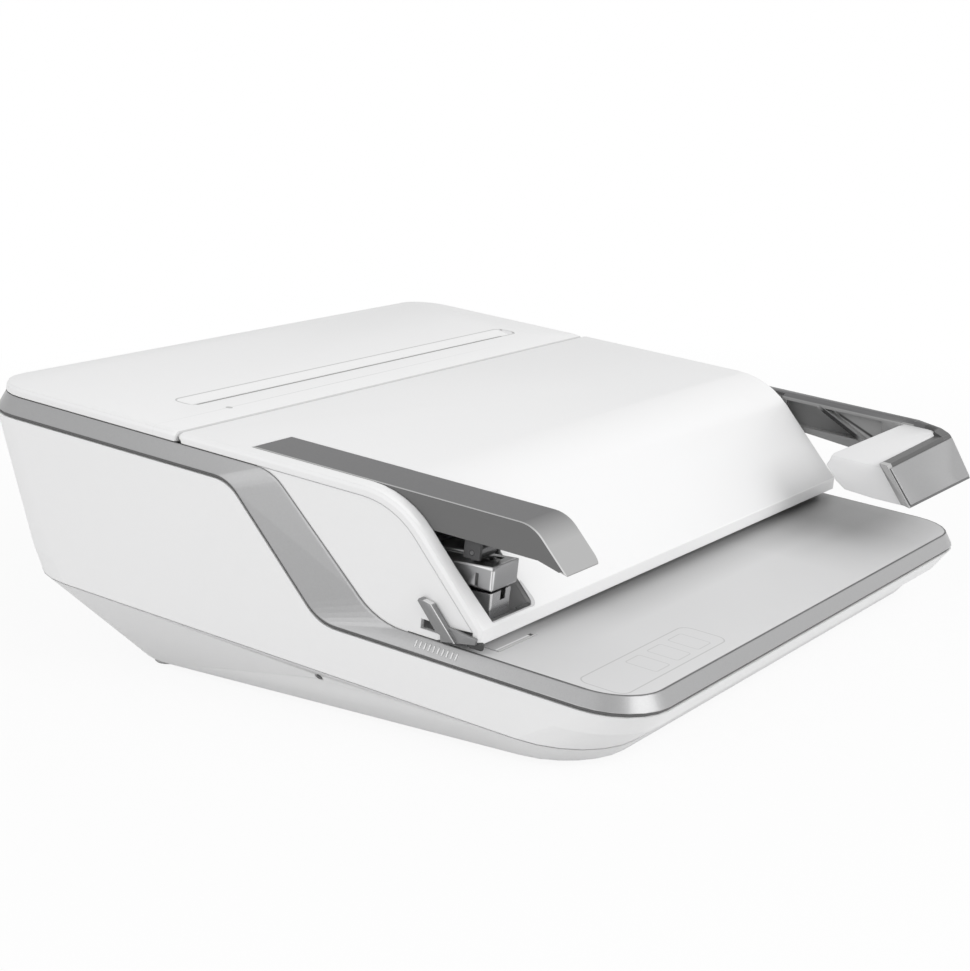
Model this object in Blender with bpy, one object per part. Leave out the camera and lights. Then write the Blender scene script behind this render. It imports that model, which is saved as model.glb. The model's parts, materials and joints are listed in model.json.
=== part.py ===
# Manual binding machine: punch, comb opener and stapler in one desk-top case.
# Deck frame: X across (right positive), Y from the tray's front edge to the rear, Z up from the tray face.
# The whole deck slopes down to the user, and the base pan's underside is level.
import math

import bmesh
import bpy
from mathutils import Matrix, Vector

# General clearances and counts
DECK_SLOPE = math.radians(6.739)
GAP = 0.0003
RUN_GAP = 0.00015
OVERRUN = 0.004
CORNER_STEPS = 6
FILLET_STEPS = 6

# Case plan: the trim's upper edge is the tray's outline
TRAY_HALF_WIDTH = 0.2007
CASE_DEPTH = 0.4003
TOP_HEIGHT = 0.0643

# Lines across the deck that pieces of the rear half keep to
SHAFT_FROM_REAR = 0.0553
SHAFT_Y = CASE_DEPTH - SHAFT_FROM_REAR
SLOT_FROM_SHAFT = 0.0456
SLOT_FRONT_Y = SHAFT_Y - SLOT_FROM_SHAFT
LID_REAR_FROM_SLOT = 0.0308
LID_REAR_Y = SLOT_FRONT_Y - LID_REAR_FROM_SLOT
LID_HINGE_SETBACK = 0.0026
LID_HINGE_Y = LID_REAR_Y - LID_HINGE_SETBACK
LID_FRONT_Y = 0.0815

# Corners and rim of the case
FRONT_CORNER_RADIUS = 0.026
REAR_CORNER_RADIUS = 0.024
RIM_HEIGHT = 0.0053
SHELL_WALL = 0.0026

# Trim band: its upper and lower edges in side view, each a foot, a slope and a head
BAND_FLARE = 0.0044
BAND_UP_FOOT_Y = 0.1397
BAND_UP_HEAD_Y = 0.2089
BAND_UP_FOOT_RADIUS = 0.041
BAND_UP_HEAD_RADIUS = 0.026
BAND_LOW_FOOT_Y = 0.1708
BAND_LOW_HEAD_Y = 0.2319
BAND_LOW_FOOT_RADIUS = 0.026
BAND_LOW_HEAD_RADIUS = 0.022
BAND_FRONT_DROP = 0.0070
BAND_REAR_DROP = 0.0087
BAND_WALL = 0.0026
BAND_REBATE = 0.0028
BAND_LEDGE_REACH = 0.0090
BAND_LEDGE_THICKNESS = 0.0015
BAND_FOOT_HEIGHT = 0.0018

# Dark seam strip under the band
SEAM_HEIGHT = 0.0014
SEAM_INSET = 0.0009
SEAM_DEPTH = 0.0024

# Lower shell: upright sides down to the crease, a bow at the front and a leaning rear wall
CREASE_Z = -0.0320
BOW_MID_Z = -0.0200
BOW_MID_SETBACK = 0.0066
BOW_SETBACK = 0.0200
REAR_LEAN = 0.0330
CREASE_FRONT_RADIUS = 0.040
CREASE_REAR_RADIUS = 0.036
SHELL_FLOOR = 0.0026

# Base pan below the crease; its underside is level in the world
PAN_LEVEL_Z = -0.0360
PAN_UNDERCUT_SHARE = 0.763
PAN_REAR_SETBACK = 0.0500
PAN_FRONT_SETBACK = 0.0050
PAN_WALL = 0.0026
PAN_FRONT_RADIUS = 0.036
PAN_REAR_RADIUS = 0.034
PAN_SIDE_SHARES = (0.25, 0.5, 0.75)

# Rubber feet and case screws under the pan
FOOT_RADIUS = 0.0080
FOOT_HEIGHT = 0.0023
FOOT_CHAMFER = 0.0008
FOOT_REAR_SIDE_MARGIN = 0.0360
FOOT_REAR_MARGIN = 0.0267
FOOT_FRONT_SIDE_MARGIN = 0.0307
FOOT_FRONT_MARGIN = 0.0314
SCREW_HEAD_RADIUS = 0.0035
SCREW_HEAD_HEIGHT = 0.0012
SCREW_SLOT_WIDTH = 0.0010
SCREW_SLOT_DEPTH = 0.0006
SCREW_FROM_FOOT = 0.0220

# Work tray
TRAY_THICKNESS = 0.0025
TRAY_REAR_MARGIN = 0.0066
TRAY_NARROW_MARGIN = 0.0026

# Lid: flat top, a bend, a 45 degree front slope and a short front strip
LID_HINGE_RADIUS = 0.0030
LID_BEND_RADIUS = 0.0500
LID_FRONT_BOTTOM_Z = 0.0050
LID_STRIP_HEIGHT = 0.0066
LID_WALL = 0.0026
LID_EDGE_RADIUS = 0.0026
LID_BAR_LENGTH = 0.0100
LID_PARTING = 0.0008
EDGE_HALF_SHARE = 0.2929
LID_TAIL_TURN = math.radians(60.0)
LID_TAIL_SHARES = ((0.5, 0.25), (1.0, 0.55))

# Hinge pins of the lid and the chassis ears that hold them
HINGE_PIN_RADIUS = 0.0009
HINGE_EAR_RADIUS = 0.00175
HINGE_EAR_ARM = 0.0013
HINGE_PIN_LENGTH = 0.0150
HINGE_NOTCH_CLEARANCE = 0.0006

# Stapler lever and its openings in the lid
LEVER_SIDE_MARGIN = 0.0242
LEVER_CENTRE_X = LEVER_SIDE_MARGIN - TRAY_HALF_WIDTH
LEVER_WIDTH = 0.0312
LEVER_REAR_MARGIN = 0.0403
LEVER_REAR_Y = LID_REAR_Y - LEVER_REAR_MARGIN
LEVER_DEPTH = 0.0153
LEVER_NOSE_REACH = 0.0350
LEVER_NOSE_Y = LID_FRONT_Y - LEVER_NOSE_REACH
LEVER_NOSE_DROP = 0.0193
LEVER_NOSE_BOTTOM_Z = TOP_HEIGHT - LEVER_NOSE_DROP
LEVER_NOSE_RUN = 0.0200
LEVER_NOSE_RADIUS = 0.0180
LEVER_TOP_WALL = 0.0024
LEVER_SIDE_WALL = 0.0018
LEVER_NOSE_WALL = 0.0040
LEVER_HEEL = 0.0040
LEVER_PIVOT_SETBACK = 0.0063
LEVER_PIVOT_Y = LEVER_REAR_Y - LEVER_PIVOT_SETBACK
LEVER_PIVOT_DROP = 0.0083
LEVER_PIN_RADIUS = 0.0015
LID_SLOT_SETBACK = 0.0225
LID_SLOT_FRONT_Y = LID_FRONT_Y + LID_SLOT_SETBACK
LID_WINDOW_LAP = 0.0140
LID_WINDOW_REAR_Y = LID_SLOT_FRONT_Y + LID_WINDOW_LAP
LID_WINDOW_LEFT = 0.0140
LID_WINDOW_RIGHT = 0.0222
LID_WINDOW_SETBACK = 0.0017
LID_WINDOW_FRONT_Y = LID_FRONT_Y + LID_WINDOW_SETBACK
LID_WINDOW_SILL_Z = 0.0132
HEAD_SETBACK = 0.0053
HEAD_FRONT_Y = LID_FRONT_Y + HEAD_SETBACK
HEAD_SWING_ROOM = 0.0016
ROLLER_SETBACK = 0.0142
ROLLER_Y = HEAD_FRONT_Y + ROLLER_SETBACK
ROLLER_RADIUS = 0.0040
ROLLER_WIDTH = 0.0140
ROLLER_AXLE_RADIUS = 0.0012
ROLLER_TAB_THICKNESS = 0.0018
ROLLER_TAB_HALF = 0.0045

# Stapler bracket under the lid
BRACKET_HALF_WIDTH = 0.0133
BRACKET_WALL = 0.0012
ARM_PIVOT_STEP = 0.0080
ARM_PIVOT_Y = LEVER_PIVOT_Y - ARM_PIVOT_STEP
BRACKET_FRONT_REACH = 0.0180
BRACKET_FRONT_Y = ARM_PIVOT_Y - BRACKET_FRONT_REACH
BRACKET_REAR_REACH = 0.0057
BRACKET_REAR_Y = LEVER_REAR_Y + BRACKET_REAR_REACH
BRACKET_BOTTOM_Z = 0.0030
BRACKET_FLANGE_LENGTH = 0.0160
BRACKET_TOP_DROP = 0.0050
BRACKET_EYE = 0.0060
ARM_PIVOT_Z = 0.0120
ARM_PIN_RADIUS = 0.0018

# Driver arm: level on its top in the world, an inverted channel with a square head
HEAD_WIDTH = 0.0227
HEAD_TOP_DROP = 0.0263
HEAD_TOP_Z = TOP_HEIGHT - HEAD_TOP_DROP
HEAD_FRONT_DROP = 0.0120
HEAD_LENGTH = 0.0150
DRIVER_WALL = 0.0015
DRIVER_TAIL = 0.0060
DRIVER_REAR_Y = ARM_PIVOT_Y + DRIVER_TAIL
DRIVER_REAR_TOP_Z = 0.0245
DRIVER_SIDE_DROP = 0.0090
DRIVER_LUG_RADIUS = 0.0052
DRIVER_HOLE_HALF = 0.0016
BLADE_WIDTH = 0.0130
BLADE_THICKNESS = 0.0008
BLADE_LENGTH = 0.0100
BLADE_SETBACK = 0.0038

# Magazine, staple strip and pusher
MAG_WIDTH = 0.0174
MAG_SETBACK = 0.0018
MAG_FRONT_Y = HEAD_FRONT_Y + MAG_SETBACK
MAG_FRONT_Z = 0.0110
MAG_REAR_Z = 0.0046
MAG_HEIGHT = 0.0130
MAG_REAR_HEIGHT = 0.0110
MAG_REAR_MARGIN = 0.0104
MAG_REAR_Y = ARM_PIVOT_Y - MAG_REAR_MARGIN
MAG_WALL = 0.0010
MAG_LUG_RADIUS = 0.0048
STAPLE_WIDTH = 0.0128
STAPLE_HEIGHT = 0.0060
STAPLE_WIRE = 0.0007
STAPLE_STRIP_SHARE = 0.4348
STAPLE_SETBACK = 0.0016
PUSHER_LENGTH = 0.0090
PUSHER_HEIGHT = 0.0070

# Staple anvil let into the tray
ANVIL_LEFT_REACH = 0.0142
ANVIL_LEFT_X = LEVER_CENTRE_X - ANVIL_LEFT_REACH
ANVIL_WIDTH = 0.0340
ANVIL_FRONT_REACH = 0.0035
ANVIL_FRONT_Y = LID_FRONT_Y - ANVIL_FRONT_REACH
ANVIL_LENGTH = 0.0340
ANVIL_THICKNESS = 0.0012
ANVIL_PROUD = 0.0004
ANVIL_GROOVE_WIDTH = 0.0140
ANVIL_GROOVE_LENGTH = 0.0022
ANVIL_GROOVE_DEPTH = 0.0006
ANVIL_GROOVE_SETBACK = 0.0130
ANVIL_GROOVE_Y = ANVIL_FRONT_Y + ANVIL_GROOVE_SETBACK

# Cheek panels and the staple depth lever in the left one
CHEEK_WALL = 0.0026
CHEEK_SETBACK = 0.0125
CHEEK_FRONT_Y = LID_FRONT_Y + CHEEK_SETBACK
CHEEK_TIP_HEIGHT = 0.0042
CHEEK_NOTCH_SETBACK = 0.0165
CHEEK_NOTCH_FRONT_Y = LID_FRONT_Y + CHEEK_NOTCH_SETBACK
CHEEK_FOOT_SETBACK = 0.0245
CHEEK_FOOT_Y = LID_FRONT_Y + CHEEK_FOOT_SETBACK
CHEEK_NOTCH_Z = 0.0037
DEPTH_SLOT_LENGTH = 0.0176
DEPTH_SLOT_REAR_Y = CHEEK_NOTCH_FRONT_Y + DEPTH_SLOT_LENGTH
DEPTH_SLOT_HEIGHT = 0.0047
DEPTH_LEVER_WIDTH = 0.0041
DEPTH_FOOT_SETBACK = 0.0022
DEPTH_FOOT_FRONT_Y = LID_FRONT_Y + DEPTH_FOOT_SETBACK
DEPTH_FOOT_WIDTH = 0.0019
DEPTH_FOOT_LENGTH = 0.0190
DEPTH_FOOT_Z = 0.0010
DEPTH_FOOT_HEIGHT = 0.0075
DEPTH_INSTEP_RUN = 0.0070
DEPTH_INSTEP_Z = 0.0083
DEPTH_ANKLE_RUN = 0.0145
DEPTH_ANKLE_Z = 0.0090
DEPTH_ROOT_RUN = 0.0193
DEPTH_ROOT_Z = 0.0085
DEPTH_HEEL_RUN = 0.0196
DEPTH_HEEL_Z = 0.0059
DEPTH_FINGER_FRONT_RUN = 0.0098
DEPTH_FINGER_FRONT_Z = 0.0030
DEPTH_FINGER_REAR_RUN = 0.0201
DEPTH_FINGER_REAR_Z = 0.0057
DEPTH_TIP_REAR_RUN = 0.0322
DEPTH_TIP_REAR_Z = 0.0184
DEPTH_TIP_TOP_RUN = 0.0315
DEPTH_TIP_TOP_Z = 0.0197
DEPTH_TIP_FRONT_RUN = 0.0249
DEPTH_TIP_FRONT_Z = 0.0183
DEPTH_ARM_RUN = 0.0043
DEPTH_ARM_LENGTH = 0.0066
DEPTH_STOP_WIDTH = 0.0062
DEPTH_STOP_LENGTH = 0.0110
DEPTH_STOP_HEIGHT = 0.0086
DEPTH_STOP_LIFT = 0.0006

# Rear top cover with the paper slot and its sloped lead-in
COVER_WALL = 0.0026
COVER_EDGE_RADIUS = 0.0026
SLOT_CENTRE_X = 0.0010
SLOT_SIDE_MARGIN = 0.0510
SLOT_WIDTH = 2.0 * (TRAY_HALF_WIDTH - SLOT_SIDE_MARGIN)
SLOT_GAP = 0.0050
LEADIN_LENGTH = 0.0090
LEADIN_DEPTH = 0.0019
LEADIN_LEFT = 0.0047
LEADIN_RIGHT = 0.0139
SLOT_BAR_MARGIN = 0.0065

# Punch unit: die plate in front of the throat, guide plate behind it, pins from the rear
PIN_PITCH = 0.01428
PIN_COUNT = round(SLOT_WIDTH / PIN_PITCH)
PIN_WIDTH = 0.0076
PIN_THICKNESS = 0.0026
PIN_CLEARANCE = 0.0003
PIN_DROP = 0.0198
PIN_Z = TOP_HEIGHT - PIN_DROP
DIE_THICKNESS = 0.0032
GUIDE_THICKNESS = 0.0080
PLATE_BELOW_PIN = 0.0105
PUNCH_TRAVEL = 0.0120
PIN_TIP_ENTRY = 0.0011
CARRIER_GAP = 0.0006
CARRIER_THICKNESS = 0.0040
CARRIER_END_MARGIN = 0.0017
CARRIER_HALF_HEIGHT = 0.0065
STOP_BAR_HEIGHT = 0.0040
STOP_BAR_OVERLAP = 0.0003

# Handle shaft, cranks and bushes
SHAFT_DROP = 0.0263
SHAFT_Z = TOP_HEIGHT - SHAFT_DROP
SHAFT_RADIUS = 0.0050
HANDLE_SWING = math.radians(80.0)
CRANK_SIDE_MARGIN = 0.0395
CRANK_X = TRAY_HALF_WIDTH - CRANK_SIDE_MARGIN
CRANK_THICKNESS = 0.0032
CRANK_HUB_RADIUS = 0.0085
CRANK_ARM_HALF = 0.0032
CRANK_PIN_RADIUS = 0.0020
CRANK_PIN_REACH = 0.0046
OPENER_TRAVEL = 0.0180
YOKE_THICKNESS = 0.0028
YOKE_SLACK = 0.0005
YOKE_TINE = 0.0026
YOKE_TOP_LAND = 0.0025
YOKE_SHAFT_CLEARANCE = 0.0006
BUSH_RADIUS = 0.0075
BUSH_FLANGE_RADIUS = 0.0100
BUSH_FLANGE = 0.0012

# Chassis
CHASSIS_SIDE_MARGIN = 0.0187
CHASSIS_SIDE_X = TRAY_HALF_WIDTH - CHASSIS_SIDE_MARGIN
CHASSIS_SHEET = 0.0020
CHASSIS_FLOOR = 0.0015
CHASSIS_FRONT_MARGIN = 0.0041
CHASSIS_FRONT_Y = LID_REAR_Y - CHASSIS_FRONT_MARGIN
CHASSIS_BEHIND_SHAFT = 0.0170
CHASSIS_REAR_Y = SHAFT_Y + CHASSIS_BEHIND_SHAFT
CHASSIS_TOP_DROP = 0.0073
CHASSIS_TOP_Z = TOP_HEIGHT - CHASSIS_TOP_DROP
CHASSIS_REAR_TOP_Z = 0.0200
CHASSIS_SHOULDER = 0.0060
CHASSIS_SHOULDER_Y = CHASSIS_REAR_Y - CHASSIS_SHOULDER

# Comb opener on the tray
BED_END = 0.0012
BED_REAR_MARGIN = 0.0116
BED_REAR_Y = LID_REAR_Y - BED_REAR_MARGIN
BED_LENGTH = 0.0670
BED_FRONT_Y = BED_REAR_Y - BED_LENGTH
BED_TOP_Z = 0.0083
BED_SHEET = 0.0020
FINGER_WIDTH = 0.0042
FINGER_SETBACK = 0.0140
FINGER_Y = BED_FRONT_Y + FINGER_SETBACK
FINGER_THICKNESS = 0.0020
FINGER_HEIGHT = 0.0150
FINGER_RAIL_HEIGHT = 0.0016
HOOK_WIDTH = 0.0040
HOOK_SLOT_WIDTH = 0.0054
HOOK_FROM_BED_REAR = 0.0230
HOOK_Y = BED_REAR_Y - HOOK_FROM_BED_REAR
HOOK_LENGTH = 0.0040
HOOK_TOP_Z = 0.0205
HOOK_TIP_LENGTH = 0.0050
HOOK_TIP_HEIGHT = 0.0022
HOOK_BAR_FRONT_REACH = 0.0070
HOOK_BAR_FRONT_Y = HOOK_Y - HOOK_BAR_FRONT_REACH
HOOK_BAR_REAR_REACH = 0.0160
HOOK_BAR_REAR_Y = HOOK_Y + HOOK_BAR_REAR_REACH
HOOK_BAR_BOTTOM_Z = 0.0009
HOOK_BAR_THICKNESS = 0.0036
ROD_INSET = 0.0049
ROD_X = CRANK_X - ROD_INSET
ROD_BOTTOM_Z = 0.0190
ROD_HEIGHT = 0.0060
ROD_HEEL_LENGTH = 0.0110

# Chip drawer
DRAWER_HALF_WIDTH = SLOT_WIDTH / 2.0
DRAWER_FRONT_SETBACK = 0.0034
DRAWER_FRONT_Y = LID_REAR_Y + DRAWER_FRONT_SETBACK
DRAWER_TOP_Z = 0.0080
DRAWER_WALL = 0.0020
DRAWER_PANEL_WALL = 0.0030
DRAWER_PULL_WIDTH = 0.0700
DRAWER_PULL_REACH = 0.0080
DRAWER_PULL_HEIGHT = 0.0030
DRAWER_PULL_DROP = 0.0060

# Punch handle: side arm, front bar, grip and silver plate
ARM_SIDE_GAP = 0.0010
ARM_INNER_X = TRAY_HALF_WIDTH + BAND_FLARE + ARM_SIDE_GAP
ARM_THICKNESS = 0.0086
ARM_OUTER_X = ARM_INNER_X + ARM_THICKNESS
ARM_FRONT_STEP = 0.0040
ARM_FRONT_INNER_X = ARM_INNER_X - ARM_FRONT_STEP
ARM_STEP_Y = 0.1250
ARM_HUB_RADIUS = 0.0172
ARM_TOP_Z = SHAFT_Z + ARM_HUB_RADIUS
ARM_BOTTOM_Z = 0.0343
ARM_BEVEL_X = 0.0042
ARM_BEVEL_DROP = 0.0019
ARM_NECK = 0.0400
ARM_SHOULDER = 0.0170
NOSE_BOTTOM_Y = 0.0027
NOSE_BOTTOM_Z = 0.0273
NOSE_TOP_Y = 0.0193
NOSE_TOP_Z = 0.0510
NOSE_BROW_Y = 0.0254
NOSE_BROW_Z = 0.0533
NOSE_SHOULDER_Y = 0.0400
NOSE_CHIN_Y = 0.0360
NOSE_CHIN_Z = 0.0285
NOSE_FILLET_RADIUS = 0.0060
BAR_LENGTH = 0.0975
BAR_LEFT_X = ARM_OUTER_X - BAR_LENGTH
BAR_LEAN = 0.0042
BAR_TOP_DROP = 0.0015
BAR_DEPTH = 0.0047
CHIN_LENGTH = 0.0180
BAR_FLOOR = 0.0012
PLATE_INSET = 0.0016
PLATE_SHEET = 0.0010
GRIP_INSET = 0.0042
GRIP_LEFT_X = BAR_LEFT_X + GRIP_INSET
GRIP_TOP_LEFT_Z = 0.0462
GRIP_TOP_RISE = 0.0060
GRIP_REAR_Y = 0.0573
GRIP_REAR_SKEW = 0.0085
GRIP_SHOULDER_Z = 0.0397
GRIP_KNEE_Y = 0.0502
GRIP_KNEE_Z = 0.0319
GRIP_HEEL_Y = 0.0440
GRIP_HEEL_Z = 0.0279
GRIP_SOLE_Y = 0.0267
GRIP_SOLE_Z = 0.0268
GRIP_EDGE_RADIUS = 0.0020
GRIP_SIDE_ROUND = 0.0032
GRIP_ROUND_SHARES = ((0.0, 1.0), (0.29, 0.29), (1.0, 0.0))
LOBE_REACH = 0.0049
LOBE_DEPTH = 0.0110
LOBE_CORNER = 0.0048
LOBE_REAR_Y = 0.0464
RIB_POCKET_DEPTH = 0.0050
RIB_MARGIN = 0.0032
RIB_WIDTH = 0.0030
RIB_REAR_Y = 0.1215
RIB_TOP_Y = 0.0990
RIB_BOTTOM_Y = 0.0690
RIB_FRONT_Y = 0.0580
HUB_BOLT_RADIUS = 0.0046
HUB_BOLT_HEIGHT = 0.0030
HUB_SHAFT_END = 0.0042
HUB_SOCKET_RADIUS = 0.0052
HUB_START_ANGLE = math.radians(80.0)
HUB_SWEEP = math.radians(215.0)
HUB_STEPS = 12


# Joint axes in the deck frame
LID_AXIS = Vector((0.0, LID_HINGE_Y, TOP_HEIGHT - LID_HINGE_RADIUS))
LEVER_AXIS = Vector((LEVER_CENTRE_X, LEVER_PIVOT_Y, TOP_HEIGHT - LEVER_PIVOT_DROP))
ARM_AXIS = Vector((LEVER_CENTRE_X, ARM_PIVOT_Y, ARM_PIVOT_Z))
HANDLE_AXIS = Vector((0.0, SHAFT_Y, SHAFT_Z))
ROOT_AXIS = Vector((0.0, 0.0, 0.0))
BODY_AXES = {
    "root": ROOT_AXIS,
    "lid": LID_AXIS,
    "stapler_lever": LEVER_AXIS,
    "driver_arm": ARM_AXIS,
    "magazine": ARM_AXIS,
    "pusher": ARM_AXIS,
    "handle": HANDLE_AXIS,
    "punch_bar": ROOT_AXIS,
    "comb_hooks": ROOT_AXIS,
    "depth_stop": ROOT_AXIS,
    "chip_drawer": ROOT_AXIS,
}
BODY_PARENTS = {
    "lid": "root",
    "stapler_lever": "lid",
    "driver_arm": "lid",
    "magazine": "lid",
    "pusher": "magazine",
    "handle": "root",
    "punch_bar": "root",
    "comb_hooks": "root",
    "depth_stop": "root",
    "chip_drawer": "root",
}

frames = {}
paints = {}


# Scene, materials and frames

def clear_scene():
    for item in list(bpy.data.objects):
        bpy.data.objects.remove(item, do_unlink=True)


def make_paint(name, colour, roughness, metallic):
    paint = bpy.data.materials.new(name)
    paint.use_nodes = True
    shader = paint.node_tree.nodes["Principled BSDF"]
    shader.inputs["Base Color"].default_value = (*colour, 1.0)
    shader.inputs["Roughness"].default_value = roughness
    shader.inputs["Metallic"].default_value = metallic
    paints[name] = paint


def make_paints():
    make_paint("white_plastic", (0.80, 0.80, 0.80), 0.42, 0.0)
    make_paint("light_grey_plastic", (0.62, 0.62, 0.62), 0.45, 0.0)
    make_paint("tray_grey", (0.58, 0.58, 0.58), 0.50, 0.0)
    make_paint("silver_paint", (0.36, 0.36, 0.36), 0.34, 0.5)
    make_paint("dark_grey_plastic", (0.16, 0.16, 0.16), 0.45, 0.0)
    make_paint("black_rubber", (0.03, 0.03, 0.03), 0.80, 0.0)
    make_paint("plated_steel", (0.60, 0.60, 0.61), 0.30, 1.0)
    make_paint("bright_steel", (0.72, 0.72, 0.73), 0.22, 1.0)


def make_frames():
    for body, axis in BODY_AXES.items():
        frame = bpy.data.objects.new("frame_" + body, None)
        bpy.context.collection.objects.link(frame)
        frames[body] = frame
        if body == "root":
            frame.rotation_euler = (DECK_SLOPE, 0.0, 0.0)
            continue
        parent = BODY_PARENTS[body]
        frame.parent = frames[parent]
        frame.location = axis - BODY_AXES[parent]


def mesh_piece(name, points, faces, paint, body):
    mesh = bpy.data.meshes.new(name)
    shell = bmesh.new()
    corners = [shell.verts.new(Vector(point) - BODY_AXES[body]) for point in points]
    for face in faces:
        shell.faces.new([corners[index] for index in face])
    bmesh.ops.recalc_face_normals(shell, faces=shell.faces)
    shell.to_mesh(mesh)
    shell.free()
    mesh.materials.append(paints[paint])
    piece = bpy.data.objects.new(name, mesh)
    bpy.context.collection.objects.link(piece)
    piece.parent = frames[body]
    return piece


def hide_as_tool(tool):
    tool.hide_render = True
    tool.display_type = "WIRE"


def combine(piece, tool, operation):
    hide_as_tool(tool)
    step = piece.modifiers.new(operation.lower() + "_" + tool.name, "BOOLEAN")
    step.operation = operation
    step.solver = "EXACT"
    step.object = tool


def cut(piece, tool):
    combine(piece, tool, "DIFFERENCE")


def fuse(piece, tool):
    combine(piece, tool, "UNION")


def soften(piece, width, segments=2):
    bevel = piece.modifiers.new("soft_edges", "BEVEL")
    bevel.width = width
    bevel.segments = segments
    bevel.limit_method = "ANGLE"
    bevel.angle_limit = math.radians(40.0)


def smooth_round(piece):
    piece.data.shade_smooth()
    piece.data.set_sharp_from_angle(angle=math.radians(35.0))


# Shape builders, all in the deck frame

def box(name, low, high, paint, body):
    points = [(x, y, z) for z in (low[2], high[2]) for y in (low[1], high[1]) for x in (low[0], high[0])]
    faces = [(0, 1, 3, 2), (4, 5, 7, 6), (0, 1, 5, 4), (2, 3, 7, 6), (0, 2, 6, 4), (1, 3, 7, 5)]
    return mesh_piece(name, points, faces, paint, body)


def side_prism(name, outline, left, right, paint, body):
    # outline is a closed run of (y, z) points; the prism runs across in X
    count = len(outline)
    points = [(left, y, z) for y, z in outline] + [(right, y, z) for y, z in outline]
    faces = [tuple(range(count)), tuple(range(count, 2 * count))]
    for index in range(count):
        after = (index + 1) % count
        faces.append((index, after, count + after, count + index))
    return mesh_piece(name, points, faces, paint, body)


def cross_cylinder(name, y, z, radius, left, right, paint, body, sides=24):
    outline = []
    for index in range(sides):
        angle = 2.0 * math.pi * index / sides
        outline.append((y + radius * math.cos(angle), z + radius * math.sin(angle)))
    piece = side_prism(name, outline, left, right, paint, body)
    smooth_round(piece)
    return piece


def loft(name, rings, paint, body, closed=False):
    # rings of equally many points; an open run is capped at both ends
    count = len(rings[0])
    points = [point for ring in rings for point in ring]
    faces = []
    pairs = len(rings) if closed else len(rings) - 1
    for level in range(pairs):
        start = level * count
        above = ((level + 1) % len(rings)) * count
        for index in range(count):
            after = (index + 1) % count
            faces.append((start + index, start + after, above + after, above + index))
    if not closed:
        faces.append(tuple(range(count)))
        faces.append(tuple(range((len(rings) - 1) * count, len(rings) * count)))
    return mesh_piece(name, points, faces, paint, body)


def fillet_run(corners, radii):
    # rounds each inner corner of an open (y, z) run with an arc of FILLET_STEPS parts
    run = [corners[0]]
    for index in range(1, len(corners) - 1):
        corner = Vector(corners[index])
        back = (Vector(corners[index - 1]) - corner).normalized()
        ahead = (Vector(corners[index + 1]) - corner).normalized()
        half_angle = back.angle(ahead) / 2.0
        radius = radii[index - 1]
        reach = radius / math.tan(half_angle)
        start = corner + back * reach
        end = corner + ahead * reach
        centre = corner + (back + ahead).normalized() * (radius / math.sin(half_angle))
        turn = (start - centre).angle(end - centre)
        side = 1.0 if (start - centre).cross(end - centre) > 0.0 else -1.0
        for step in range(FILLET_STEPS + 1):
            angle = side * turn * step / FILLET_STEPS
            arm = start - centre
            spun = Vector((arm.x * math.cos(angle) - arm.y * math.sin(angle),
                           arm.x * math.sin(angle) + arm.y * math.cos(angle)))
            run.append(tuple(centre + spun))
    run.append(corners[-1])
    return run


def offset_corners(corners, distance):
    # moves an open (y, z) run sideways, to the left of its direction, keeping its corners mitred
    moved = []
    for index, corner in enumerate(corners):
        point = Vector(corner)
        sides = []
        if index > 0:
            sides.append((point - Vector(corners[index - 1])).normalized())
        if index < len(corners) - 1:
            sides.append((Vector(corners[index + 1]) - point).normalized())
        normals = [Vector((-side.y, side.x)) for side in sides]
        mitre = sum(normals, Vector((0.0, 0.0))).normalized()
        moved.append(tuple(point + mitre * (distance / mitre.dot(normals[0]))))
    return moved


def plan_ring(half, front, rear, front_radius, rear_radius, side):
    # a rounded rectangle seen from above; side is the (y, z) run along the flank, front to rear
    front_z = side[0][1]
    rear_z = side[-1][1]
    right = []
    for step in range(CORNER_STEPS + 1):
        angle = math.pi / 2.0 * step / CORNER_STEPS
        right.append((half - front_radius * (1.0 - math.sin(angle)),
                      front + front_radius * (1.0 - math.cos(angle)), front_z))
    right += [(half, y, z) for y, z in side]
    for step in range(CORNER_STEPS + 1):
        angle = math.pi / 2.0 * step / CORNER_STEPS
        right.append((half - rear_radius * (1.0 - math.cos(angle)),
                      rear - rear_radius * (1.0 - math.sin(angle)), rear_z))
    return right + [(-x, y, z) for x, y, z in reversed(right)]


def level_to_deck(y, z):
    return (y * math.cos(DECK_SLOPE) + z * math.sin(DECK_SLOPE),
            z * math.cos(DECK_SLOPE) - y * math.sin(DECK_SLOPE))


def pan_z(y, lift=0.0):
    # height in the deck frame of the level plane that lies lift above the pan's underside
    return (PAN_LEVEL_Z + lift - y * math.sin(DECK_SLOPE)) / math.cos(DECK_SLOPE)


# Runs that several pieces share

def band_upper_run():
    head_z = TOP_HEIGHT - RIM_HEIGHT - GAP
    corners = [(FRONT_CORNER_RADIUS, 0.0), (BAND_UP_FOOT_Y, 0.0), (BAND_UP_HEAD_Y, head_z),
               (CASE_DEPTH - REAR_CORNER_RADIUS, head_z)]
    return fillet_run(corners, (BAND_UP_FOOT_RADIUS, BAND_UP_HEAD_RADIUS))[1:-1]


def tray_narrow_y():
    # the tray steps in just before the band starts to climb
    return band_upper_run()[0][0] - TRAY_NARROW_MARGIN


def band_lower_run(drop=0.0):
    head_z = TOP_HEIGHT - RIM_HEIGHT - GAP - BAND_REAR_DROP
    corners = [(FRONT_CORNER_RADIUS, -BAND_FRONT_DROP), (BAND_LOW_FOOT_Y, -BAND_FRONT_DROP),
               (BAND_LOW_HEAD_Y, head_z), (CASE_DEPTH - REAR_CORNER_RADIUS, head_z)]
    run = fillet_run(corners, (BAND_LOW_FOOT_RADIUS, BAND_LOW_HEAD_RADIUS))[1:-1]
    return [(y, z - drop) for y, z in run]


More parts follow.
